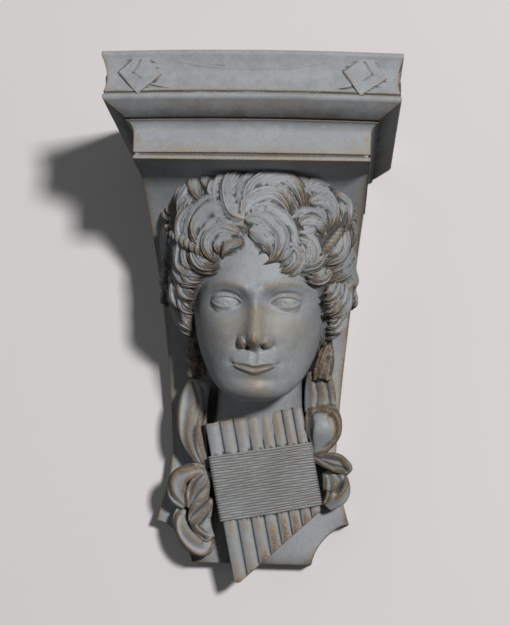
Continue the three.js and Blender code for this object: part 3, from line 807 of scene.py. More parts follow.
@dataclass(frozen=True)
class Head:
    """The head's plain form, the features of a calm, even face, and the neck.

    Sizes are steps right of, in front of and above a point between the eyes. A row of
    stations is a height, half the width and the front there. A row of the jaw is a height
    and where the sides start, and one of the ridge a height and how far the nose stands out.
    """

    lean: float = 10.0
    stations: tuple = (
        (86, 52, 64), (50, 66, 80), (15, 68, 84), (0, 67, 81), (-25, 65, 79), (-46, 61, 78),
        (-64, 54, 76), (-80, 44, 72), (-92, 30, 65), (-99, 12, 50))
    swells: tuple = (
        (1.6, 0, 9, 11, 7), (1.0, 22, 14, 48, 16), (-8.5, 30, 12.5, 1.5, 8),
        (-4.5, 15, 4.6, 1, 7), (4.5, 37, 13, -25, 12), (3.8, 0, 25, -61, 15),
        (-1.6, 57, 9, 24, 14), (-1.2, 44, 9, -52, 12), (5.5, 0, 13.5, -87, 8))
    rubbed: tuple = (
        (0.45, 36, 16, -28, 15), (0.4, 0, 20, -86, 11), (0.3, 28, 18, 17, 5), (0.2, 0, 16, -68, 6))
    jaw: tuple = ((86, 0), (-52, 0), (-66, 7), (-78, 22), (-89, 36), (-99, 43))
    ridge: tuple = (
        (18, 0), (12, 2.5), (4, 6), (-8, 10.5), (-19, 15.5), (-28, 19.8), (-34, 21.6), (-38, 20.4),
        (-41.5, 15), (-45, 6), (-48, 0.4))
    eye_side: float = 29.0
    eye_half: float = 14.5
    eyeball: float = 12.8
    mouth: float = -62.5
    mouth_half: float = 23.0
    neck_stations: tuple = (
        (-20, 44, 98), (-62, 44, 112), (-84, 45, 102), (-112, 48, 86), (-135, 54, 80), (-165, 50, 66))

    @property
    def middle(self) -> np.ndarray:
        """The middle of the head, at the height of the eyes."""
        return np.array([LAYOUT.head_side, -LAYOUT.head_projection, LAYOUT.eyes])

    def place(self, middle: np.ndarray, right: np.ndarray, forward: np.ndarray,
              up: np.ndarray) -> np.ndarray:
        """Turns steps on the leaning head into points.

        Args:
            middle: Where the steps start.
            right: Steps to the right.
            forward: Steps to the front, which the lean carries down.
            up: Steps up, which the lean carries forwards.

        Returns:
            The points.
        """
        lean = np.radians(self.lean)
        return xyz(middle[0] + right,
                   middle[1] - (forward * np.cos(lean) + up * np.sin(lean)),
                   middle[2] + (up * np.cos(lean) - forward * np.sin(lean)))

    def plain(self, x: np.ndarray, half: np.ndarray, front: np.ndarray) -> np.ndarray:
        """Front of the plain head: one less a power of the share of the width, to a power."""
        share = np.clip(np.abs(x / half), 0, 1)
        return front * (1 - share**2.2) ** 0.48

    def nose(self, side: np.ndarray, z: np.ndarray) -> np.ndarray:
        """The nose: a ridge that falls off as bells to each side, with two wings and nostrils.

        The wings are half ellipsoids. The tip is rounded: off the middle the ridge is read
        lower down by a share of the squared distance.

        Args:
            side: Distance from the middle of the face.
            z: Height over the eyes.

        Returns:
            How far it stands out.
        """
        ridge = through(self.ridge, z - 0.035 * np.minimum(side, 14) ** 2)[..., 0]
        width = through([[20, 8.2], [2, 6.6], [-12, 7.0], [-24, 8.2], [-34, 9.6], [-48, 9.4]], z)[..., 0]
        out = ridge * (0.6 * np.exp(-(side / width) ** 2.2) + 0.4 * bell(side, width * 1.4))
        wing = 1 - ((side - 11.4) / 6.4) ** 2 - ((z + 38.2) / 7.0) ** 2
        out = swell(out, 11.5 * np.sqrt(np.clip(wing, 0, 1)), 1.6) - 0.8
        out -= 1.6 * bell(side - 17.6, 1.7) * bell(z + 38.5, 5.0)
        out -= 1.1 * bell(side - 8.2, 1.3) * bell(z + 33.5, 3.0)
        return out - 6.5 * bell(side - 6.6, 2.3) * bell(z + 43.2, 1.7)

    def lips(self, x: np.ndarray, z: np.ndarray) -> np.ndarray:
        """The mouth: two full lips that meet in a line, and the hollow over and under them.

        Args:
            x: Steps right of the middle of the face.
            z: Height over the eyes.

        Returns:
            How far it stands out.
        """
        side = np.abs(x)
        reach = np.clip(side / self.mouth_half, 0, 1)
        line = self.mouth - 0.9 * bell(x, 5.0) + 0.9 * bell(side - 10, 6.0) + 2.6 * reach**2.4
        upper = line + 8.0 * (1 - reach**1.9) + 1.0 * bell(side - 5.5, 2.6) - 1.2 * bell(x, 2.0)
        lower = line - 9.2 * (1 - reach**2.2)
        above = np.clip((z - line) / np.maximum(upper - line, 0.4), 0, 1)
        below = np.clip((line - z) / np.maximum(line - lower, 0.4), 0, 1)
        fade = 1 - rise(side, self.mouth_half - 5, self.mouth_half + 1)
        high = 4.0 * (1 - above**1.5) * (0.72 + 0.28 * bell(x, 6.0))
        low = 4.8 * (1 - (2 * below - 0.8) ** 2 * 0.55) * (1 - rise(below, 0.5, 1.0))
        low *= 0.8 + 0.2 * bell(side - 6, 6.0)
        out = np.where(z > line, high * (above < 1), low * (below < 1)) * fade
        out -= 3.4 * bell(z - line, 0.85) * (1 - rise(side, self.mouth_half - 2, self.mouth_half + 1.5))
        out -= 2.0 * bell(side - self.mouth_half - 1.5, 2.2) * bell(z - line, 3.0)
        out -= 1.0 * bell(x, 2.4) * rise(-z, 46, 50) * (1 - rise(-z, 54, 56.5))
        out += 0.6 * bell(side - 4.6, 1.5) * rise(-z, 46, 50) * (1 - rise(-z, 54, 57.5))
        return out - 2.6 * bell(x, 15.0) * bell(z + 75.5, 3.6)

    def brows(self, side: np.ndarray, z: np.ndarray) -> np.ndarray:
        """The brow ridges, with short slanting strokes of hair along an arch.

        Args:
            side: Distance from the middle of the face.
            z: Height over the eyes.

        Returns:
            How far they stand out.
        """
        arch = through([[4, 12], [16, 16.5], [31, 20], [43, 18], [56, 10]], side)[..., 0]
        thick = 3.4 - 1.5 * rise(side, 24, 52)
        span = rise(side, 6, 12) * (1 - rise(side, 47, 54))
        strokes = np.abs(np.sin(PI * (0.62 * side + 0.5 * (z - arch)))) ** 0.7
        out = 3.0 * bell(side - 24, 15.0) * bell(z - 15, 6.5)
        return out + span * bell(z - arch, thick) * (1.3 + 1.0 * strokes)

    def eyes(self, side: np.ndarray, z: np.ndarray, skin: np.ndarray, level: float) -> np.ndarray:
        """Eyeballs under their lids: spheres, and a shell over them that is open in an almond.

        Args:
            side: Distance from the middle of the face.
            z: Height over the eyes.
            skin: Distance of the face's surface in front of the head's middle.
            level: The same at the middle of an eye.

        Returns:
            The new surface.
        """
        along = (side - self.eye_side) / self.eye_half
        flat = (side - self.eye_side) ** 2 + z**2
        front = level - 1.2
        ball = front - self.eyeball + np.sqrt(np.clip(self.eyeball**2 - flat, 0, None))
        shell = self.eyeball + np.where(z > 0, 2.0, 1.5)
        lid = front - self.eyeball + np.sqrt(np.clip(shell**2 - flat * 0.94, 0, None))
        lid = np.where(flat * 0.94 < shell**2, lid, -99.0)
        skin = swell(skin, lid, 1.6)
        bend = np.clip(1 - np.abs(along) ** 2.1, 0, None)
        tilt = 0.9 * along
        upper = 5.2 * bend**0.75 * (1 - 0.12 * along) + tilt
        lower = -4.6 * bend**0.8 * (1 + 0.12 * along) + tilt
        fold = upper + 4.6 + 0.8 * along
        wide = np.clip(1.12 - np.abs(along), 0, 0.3) / 0.3
        skin = skin - 1.5 * bell(z - fold, 0.75) * wide + 0.5 * bell(z - fold - 2.4, 1.6) * wide
        skin = skin - 0.7 * bell(z - lower + 4.2 - 0.6 * along, 0.9) * wide
        ring = np.sqrt((side - self.eye_side + 0.6) ** 2 + (z + 0.3) ** 2)
        ball = ball - 0.35 * bell(ring - 5.4, 0.4) - 1.1 * (1 - rise(ring, 1.3, 2.3))
        inner = swell(ball, skin - 2.3, 0.3)
        gap = np.minimum(upper - z, z - lower)
        open_share = rise(gap, -0.2, 0.45) * (np.abs(along) < 1)
        rim = 0.45 * bell(gap + 0.7, 0.6) * wide
        return (skin + rim) * (1 - open_share) + inner * open_share

    def face(self) -> Form:
        """The head as level rings, each with its front worked out from the features.

        The cheeks, brow, chin and the hollows between them are bells added to the plain
        front, and they fade towards the sides. Wear is bells on the parts that stand out.

        Returns:
            The closed surface.
        """
        rows = np.concatenate([np.linspace(86, 25, 26), np.linspace(24.4, -78, 196),
                               np.linspace(-78.8, -99, 32)])
        column = np.linspace(-1, 1, 217)[None, :]
        z = rows[:, None] + 0 * column
        half, front = np.moveaxis(through(self.stations, rows), -1, 0)[..., None]
        x = half * (0.5 * column + 0.5 * column**3)
        side = np.abs(x)
        start = through(self.jaw, rows)
        surface = start + self.plain(x, half, front - start)
        spread = surface / np.maximum(front, 1)
        out = bumps(self.swells, side, z)
        fold = side - (17 + 0.62 * (-z - 40))
        out -= 0.9 * bell(fold, 2.6) * rise(-z, 36, 44) * (1 - rise(-z, 56, 68))
        out += self.brows(side, z) + self.nose(side, z) + self.lips(x, z)
        surface = surface + out * rise(spread, 0.25, 0.6)
        level = self.plain(self.eye_side, 67.0, 81.0)
        eyed = self.eyes(side, z, surface, level)
        share = rise(23 - np.abs(z), 0, 5) * (1 - rise(side, 46, 52)) * rise(side, 6, 12)
        surface = surface + (eyed - surface) * share
        rings = self.place(self.middle, x, surface, z)
        back = np.linspace(1, -1, 24)[None, 1:-1]
        behind = start - 0.4 * (front - start) * np.sqrt(1 - back**2)
        rear = self.place(self.middle, half * back, behind, rows[:, None] + 0 * back)
        worn = 0.1 + 0.5 * bell(side, 11) * rise(-z, -8, 8) * (1 - rise(-z, 42, 50))
        worn += bumps(self.rubbed, side, z)
        return loft(np.concatenate([rings, rear], 1), np.concatenate([worn, 0 * behind], 1))

    def neck(self) -> Form:
        """Neck and top of the chest: level half rings between stations down to behind the pipes.

        Returns:
            The closed surface.
        """
        down = np.linspace(-20, -165, 70)
        half, front = np.moveaxis(through(self.neck_stations, down), -1, 0)[..., None]
        turn = np.linspace(0, PI, 90)[None, :]
        back = -LAYOUT.plate + LAYOUT.root
        depth = front + back
        cord = 2.2 * bell(np.cos(turn) * half - 17 - (down[:, None] + 84) * 0.12, 5.0)
        cord += 2.2 * bell(np.cos(turn) * half + 17 + (down[:, None] + 84) * 0.12, 5.0)
        cord *= rise(-down[:, None], 60, 84) * (1 - rise(-down[:, None], 100, 124))
        x = LAYOUT.head_side + half * np.cos(turn) * 1.02
        y = back - (depth + cord) * np.sin(turn) ** 0.7
        return loft(xyz(x, y, LAYOUT.eyes + down[:, None]))

    def forms(self) -> list[Form]:
        """The face and the neck."""
        return [self.face(), self.neck()]


@dataclass(frozen=True)
class Lock:
    """One lock of hair: where it starts on the hair, its heading, length, turn and width."""

    right: float
    up: float
    heading: float
    length: float
    turn: float
    width: float
    lift: float = 0.0
    worn: float = 0.0

    def beside(self, offset: float, scale: float, drop: float) -> "Lock":
        """A narrower lock that runs beside this one, nested in its curve.

        Its arc has the same middle, so its length changes with its radius.

        Args:
            offset: Step to the left of the heading, as a share of the width.
            scale: Its width as a share of this one's.
            drop: How much lower it lies.

        Returns:
            The nested lock.
        """
        step = offset * self.width
        angle = np.radians(self.heading)
        bend = np.radians(self.turn) / self.length
        stretch = float(np.clip(1 - step * bend, 0.35, 1.5))
        return Lock(self.right - step * np.sin(angle), self.up + step * np.cos(angle), self.heading,
                    self.length * stretch * 0.94, self.turn * 0.96, self.width * scale,
                    self.lift - drop, self.worn * 0.5)


@dataclass(frozen=True)
class Hair:
    """The mass of hair and the locks that are carried over it.

    A row of locks gives each one's step right and up, heading, length, turn and width.
    """

    head: Head = field(default_factory=Head)
    half_width: float = 94.0
    front: float = 97.0
    back: float = 62.0
    half_height: float = 82.0
    roundness: float = 92.0
    crest: float = 21.0
    aside: float = -2.0
    setback: float = 8.0
    squareness: float = 0.22
    rise_over_eyes: float = 41.0
    side_middle: float = 66.0
    side_round: float = 25.0
    side_top: float = 40.0
    side_foot: float = -44.0
    lock_lift: float = 4.0
    strand: float = 2.4
    strand_depth: float = 1.4
    over_brow: tuple = (
        (-30, 100, 150, 85, 215, 17), (-10, 45, 155, 70, -135, 20), (-15, 45, 130, 80, 190, 18),
        (-55, 55, 175, 70, 190, 12), (-15, 30, 145, 60, 180, 16), (-10, 45, 100, 75, -210, 18),
        (-10, 55, 95, 100, -210, 20), (-5, 95, 20, 60, -65, 15), (-10, 45, 20, 80, -180, 20),
        (30, 20, 335, 45, -165, 13), (40, 25, 355, 45, -170, 13), (40, 40, 40, 35, -125, 14),
        (50, 60, 35, 45, -160, 16), (50, 75, 30, 35, -60, 15))
    temples: tuple = (
        (-65, 85, 95, 55, 150, 10), (-105, 90, 210, 55, 145, 10), (-65, 75, 225, 30, 20, 15),
        (-105, 45, 180, 85, 170, 12), (-75, 25, 215, 65, 165, 13), (-95, -5, 305, 50, 55, 11),
        (85, 90, 60, 85, -280, 14), (80, 70, 20, 40, -155, 13), (105, 60, 25, 60, -125, 13),
        (95, 40, 300, 55, -115, 13), (140, 25, 245, 85, -60, 13), (145, 5, 240, 70, -40, 12),
        (-64, 12, 280, 40, 95, 9), (-76, -8, 285, 34, 100, 8), (68, 14, 255, 38, -110, 9),
        (78, -6, 250, 34, -110, 8), (-80, -24, 285, 32, 80, 9), (-93, -26, 278, 40, 65, 10),
        (-76, -40, 275, 26, 80, 7), (90, -22, 256, 32, -75, 9), (103, -24, 262, 40, -60, 10),
        (86, -38, 262, 26, -75, 7))
    ringed: tuple = ((-95, 35, 335, 55, -15, 10), (88, 42, 235, 46, 0, 9))
    fine: tuple = (
        (-35, 75, 155, 25, 215, 9), (-10, 20, 170, 30, 105, 9), (-5, 30, 345, 35, -75, 10),
        (25, 20, 325, 25, -130, 9))
    behind_temple: tuple = (
        (148, -4, 262, 50, -95, 15), (166, 14, 250, 55, 95, 16), (156, -38, 265, 46, -100, 15),
        (176, -18, 262, 50, 90, 16))
    beside_left: tuple = (
        (35, 25, 275, 40, -90, 12), (20, -5, 275, 38, -95, 14), (0, 15, 355, 35, -165, 12),
        (15, 35, 280, 30, -135, 9))
    beside_right: tuple = (
        (20, 20, 300, 45, -110, 13), (0, -15, 95, 35, -75, 12), (28, -14, 250, 30, -70, 12),
        (15, 10, 310, 35, -115, 10), (20, -15, 245, 20, -70, 9))

    def on_hair(self, a: np.ndarray, b: np.ndarray, lift: np.ndarray) -> np.ndarray:
        """A point over the mass of hair, an egg that is fuller over the brow.

        The steps a and b are arc lengths from its front: their length over the roundness
        is the angle off the front, and their direction is the turn round it.

        Args:
            a: Steps right along the hair.
            b: Steps up along the hair.
            lift: Height over it.

        Returns:
            The points.
        """
        angle = np.hypot(a, b) / self.roundness
        turn = np.arctan2(b, a)
        full = lift + self.crest * rise(b, 30, 100)
        square = 1 + self.squareness * (np.sin(2 * turn) * np.sin(angle)) ** 2
        right = (self.half_width + lift) * np.sin(angle) * square * np.cos(turn)
        forwards = np.cos(angle)
        forward = (np.where(forwards > 0, self.front, self.back) + full) * forwards
        up = (self.half_height + full) * np.sin(angle) * square * np.sin(turn)
        middle = np.array([LAYOUT.head_side + self.aside, self.head.middle[1] + self.setback,
                           LAYOUT.eyes + self.rise_over_eyes])
        return self.head.place(middle, right, forward, up)

    def beside_face(self, side: Side) -> Placing:
        """Places points on the upright column of hair beside the face.

        Args:
            side: Which side.

        Returns:
            A function of steps round the column, height over the eyes and lift.
        """
        def place(a: np.ndarray, b: np.ndarray, lift: np.ndarray) -> np.ndarray:
            """A point round the column, whose radius is a root of a smooth step of the height.

            Args:
                a: Steps round it.
                b: Height over the eyes.
                lift: Height over its surface.

            Returns:
                The points.
            """
            angle = a / self.side_round
            full = rise(b, self.side_foot, self.side_foot + 45) ** 0.5
            radius = self.side_round * (0.2 + 0.8 * full) + lift
            right = side.value * (self.side_middle + radius * np.sin(angle))
            return self.head.place(self.head.middle, right, radius * 1.1 * np.cos(angle) - 6, b)
        return place

    def lock(self, row: Lock, place: Placing, rings: int = 44, top: int = 37,
             ringed: bool = False) -> Form:
        """A lock: a domed section carried along an arc over the hair.

        With v the share of the way across, the section's top is a half oval,
        (1 - |v|^2.4)^0.6, higher on the inside of the arc. The carving cuts the strands,
        each 1 - |sin|^0.75, or the rings round a twisted lock, each 1 - |sin|^0.7. The
        width swells in the middle and runs out to the tip. Wear grows to the tip. Darkening
        lies in the grooves, at the tip and along both edges, most of all the inner one:
        soiling, and painted shade between the locks.

        Args:
            row: The lock's path and width.
            place: Puts a point of the path on the hair.
            rings: Sections along the lock.
            top: Points over its top.
            ringed: Whether rings run round it, as on a twisted lock.

        Returns:
            The closed surface.
        """
        share = np.linspace(0, 1, rings)
        angle = np.radians(row.heading + row.turn * (share[:-1] + 0.5 / (rings - 1)))
        step = row.length / (rings - 1)
        right = row.right + np.concatenate([[0], np.cumsum(np.cos(angle))]) * step
        up = row.up + np.concatenate([[0], np.cumsum(np.sin(angle))]) * step
        tip = 1 - share**7
        half = (row.width / 2) * (0.5 + 0.6 * np.sin(PI * share**0.8)) * (1 - 0.4 * share**4)
        half = half * (0.12 + 0.88 * tip) * (0.55 + 0.45 * rise(share, 0, 0.12))
        if ringed:
            half = row.width * (0.18 + 0.3 * np.sin(PI * share**0.7) ** 0.6)
        height = self.lock_lift + row.lift + row.width * 0.12 * np.sin(PI * share) - 3.0 * (1 - tip)
        middle = place(right, up, height - half * 0.4)
        outward = place(right, up, height + 10) - middle
        outward /= np.linalg.norm(outward, axis=-1, keepdims=True)
        onward = np.gradient(place(right, up, height), axis=0)
        onward /= np.linalg.norm(onward, axis=-1, keepdims=True)
        across = np.cross(outward, onward)
        across /= np.linalg.norm(across, axis=-1, keepdims=True)
        v = np.sin(np.linspace(-PI / 2, PI / 2, top))[None, :] * 0.999
        s = share[:, None]
        strands = max(2, round(row.width / self.strand))
        warp = v + 0.09 * np.sin(2.2 * PI * s + row.up * 0.37) + 0.05 * np.sin(5 * PI * s + row.right)
        wave = np.abs(np.sin(PI * strands * (warp + 1) / 2))
        groove = 1 - wave**0.75
        each = 0.7 * np.sin(0.5 * PI * strands * (warp + 1) + row.right) - 0.3
        window = rise(s, 0.0, 0.12) * (1 - 0.7 * rise(s, 0.9, 1.0)) * rise(1 - np.abs(v), 0, 0.12)
        depth = self.strand_depth * (0.55 + 0.45 * row.width / 20)
        oval = (1 - np.abs(v) ** 2.4) ** 0.6
        inner = v * np.sign(-row.turn if row.turn else 1.0)
        lift = half[:, None] * (2.0 * oval * (1 + 0.3 * inner) - 1.3) + depth * each * window
        carve = depth * groove * window
        if ringed:
            lift = half[:, None] * (1.6 * oval - 0.9)
            carve = 2.3 * (1 - np.abs(np.sin(PI * 8 * s + 1.2 * v)) ** 0.7) * oval
        under = np.array([[0.9, -1.7], [0, -2.0], [-0.9, -1.7]])
        sideways = np.concatenate([v * 1.35 + 0 * s, under[None, :, 0] + 0 * s], 1) * half[:, None]
        high = np.concatenate([lift, under[None, :, 1] * half[:, None]], 1)
        points = (middle[:, None] + across[:, None] * sideways[..., None]
                  + outward[:, None] * high[..., None])
        below = 0 * under[None, :, 0] + 0 * s
        worn = 0.12 + row.worn + 0.75 * rise(share, 0.5, 1.0)
        rub = np.concatenate([worn[:, None] * oval * (1 - 0.5 * groove), below], 1)
        # Soiling and painted shade: darker in the grooves, along both edges, most on the inner one, and
        # at the tip.
        dirt_and_shade = 0.45 * groove * window + 0.5 * (1 - oval) + 0.8 * bell(inner + 0.98, 0.2)
        dirt_and_shade += 0.4 * rise(s, 0.45, 1.0)
        dirt_and_shade = np.concatenate([dirt_and_shade, below], 1)
        return loft(points, rub, dirt_and_shade, np.concatenate([carve, below], 1))

    def curl(self, numbers: tuple, place: Placing) -> list[Form]:
        """A lock with a lower one nested on each side of it.

        Args:
            numbers: Right, up, heading, length, turn and width.
            place: Puts a point of the path on the hair.

        Returns:
            The main lock and its nested ones.
        """
        main = Lock(*numbers)
        made = [self.lock(main, place)]
        for offset, scale, drop in ((0.62, 0.7, 1.2), (-0.62, 0.7, 1.5)):
            made.append(self.lock(main.beside(offset, scale, drop), place, 30, 21))
        return made

    def back_rows(self) -> list[tuple]:
        """Rows of like locks round the back of the head, turning by turns.

        Returns:
            The rows, in the same order on each side.
        """
        made = []
        for side in Side:
            for right, up, heading, length, turn, width in self.behind_temple:
                heading = heading if side is Side.RIGHT else 180 - heading
                made.append((side.value * right, up, heading, length, side.value * turn, width))
            for k in range(4):
                angle = np.radians(58 - 34 * k)
                reach = 170 + 18 * (k % 2)
                way = side.value if k % 2 else -side.value
                made.append((side.value * reach * np.cos(angle), reach * np.sin(angle),
                             270 - 40 * way, 65, 120 * way, 20))
        return made

    def mass(self) -> Form:
        """The hair under the locks, with shallow strands that fan from the parting.

        Returns:
            The closed surface.
        """
        share = np.linspace(0, 1, 76)[1:-1, None]
        angle = np.linspace(0, 2 * PI, 181)[None, :-1]
        reach = share * PI * self.roundness
        hairline = 26 * rise(-np.sin(angle), 0.2, 0.9) * bell(reach - 70, 60)
        swirl = 30 * angle + 3.0 * np.sin(reach / 13.0)
        strands = 1.3 * (1 - np.abs(np.sin(swirl)) ** 0.75) * rise(reach, 8, 40)
        rings = self.on_hair(reach * np.cos(angle), reach * np.sin(angle), -hairline)
        # The mass shows only between the locks: it is darkened higher up as painted shade.
        above = rise(reach * (np.sin(angle) + 0.4 * np.abs(np.cos(angle))), 16, 42)
        return loft(rings, 0.0, 0.6 * above, strands * above)

    def side_mass(self, side: Side) -> Form:
        """The column of hair beside the face, with waving upright strands.

        Args:
            side: Which side.

        Returns:
            The closed surface.
        """
        b = self.side_foot + (self.side_top - self.side_foot) * (np.linspace(1, 0, 48) ** 1.5)[:, None]
        angle = np.linspace(0, 2 * PI, 97)[None, :-1]
        strands = 1.2 * (1 - np.abs(np.sin(9 * angle + 0.6 * np.sin(b / 7.0))) ** 0.75)
        # Darkened all over as painted shade, since it lies behind the locks.
        return loft(self.beside_face(side)(angle * self.side_round, b, -3.0), 0.0, 0.5, strands)

    def forms(self) -> list[Form]:
        """The mass and the locks over the brow and the temples.

        Returns:
            The closed surfaces.
        """
        made = [self.mass()]
        for row in (*self.over_brow, *self.temples):
            made += self.curl(row, self.on_hair)
        for row in self.ringed:
            made.append(self.lock(Lock(*row, worn=0.3, lift=1.5), self.on_hair, 60, 21, True))
        for row in self.fine:
            made.append(self.lock(Lock(*row, lift=1.0), self.on_hair, 34, 19))
        return made

    def behind(self) -> list[Form]:
        """The locks round the back of the head, and the hair that hangs beside the face.

        Returns:
            The closed surfaces.
        """
        made = [self.side_mass(Side.LEFT), self.side_mass(Side.RIGHT)]
        for row in self.back_rows():
            made += self.curl(row, self.on_hair)
        for side, rows in ((Side.LEFT, self.beside_left), (Side.RIGHT, self.beside_right)):
            for row in rows:
                made += self.curl(row, self.beside_face(side))
        return made


@dataclass(frozen=True)
class EarDrops:
    """The rough leaf-like drop that hangs below each temple, hollowed at its lower end."""

    side: float = 70.0
    top: float = -34.0
    length: float = 42.0
    out: float = 80.0
    lumps: tuple = ((0.8, 11.0), (0.5, 4.2))
    panel: float = 1.3

    def drop(self, side: Side) -> Form:
        """Level rings with a lumpy surface: waves of two sizes round and along the drop.

        The front has a sunk panel, a smooth step of the distance from its rim.

        Args:
            side: Which side.

        Returns:
            The closed surface.
        """
        foot = self.top - self.length
        rows = [[0, self.top + 8, 0, 2.4, 5], [0.12, self.top, 0, 5, 8.5],
                [0.4, self.top - 0.4 * self.length, 0.3, 9.2, 10.5],
                [0.72, self.top - 0.8 * self.length, 0.7, 10.4, 10.5], [0.8, foot, 0.9, 9.2, 9.5],
                [0.84, foot - 0.4, 0.9, 7.6, 8], [0.9, foot + 1.5, 0.9, 6.2, 6.5],
                [1.0, foot + 9, 0.8, 3.6, 5]]
        share = np.linspace(0, 1, 100)
        z, inward, wide, deep = np.moveaxis(through(rows, share), -1, 0)[..., None]
        turn = np.linspace(0, 2 * PI, 73)[None, :-1]
        x = LAYOUT.head_side + side.value * (self.side - 6 * inward)
        smooth = xyz(x + wide * np.cos(turn), -self.out - deep * np.sin(turn), LAYOUT.eyes + z)
        lumps = sum(height * unevenness(smooth, size) for height, size in self.lumps)
        lumps = lumps * rise(np.minimum(wide, 7) / 7, 0.3, 1)
        points = smooth + xyz(lumps * np.cos(turn), -lumps * np.sin(turn), 0.4 * lumps)
        rim = np.abs(np.cos(turn) + 0.1 * side.value)
        panel = self.panel * (1 - rise(rim, 0.55, 0.72)) * rise(np.sin(turn), 0, 0.3) * rise(wide, 4, 7)
        # Darker in the lumps' hollows and in the sunk panel: painted shade and soiling.
        dirt_and_shade = 0.15 + 0.5 * rise(-lumps, 0.2, 1.0) + 0.25 * (panel > 0.6)
        return loft(points, 0.2 + 0.5 * rise(lumps, -0.2, 0.8), dirt_and_shade, panel)

    def forms(self) -> list[Form]:
        """Both drops."""
        return [self.drop(side) for side in Side]


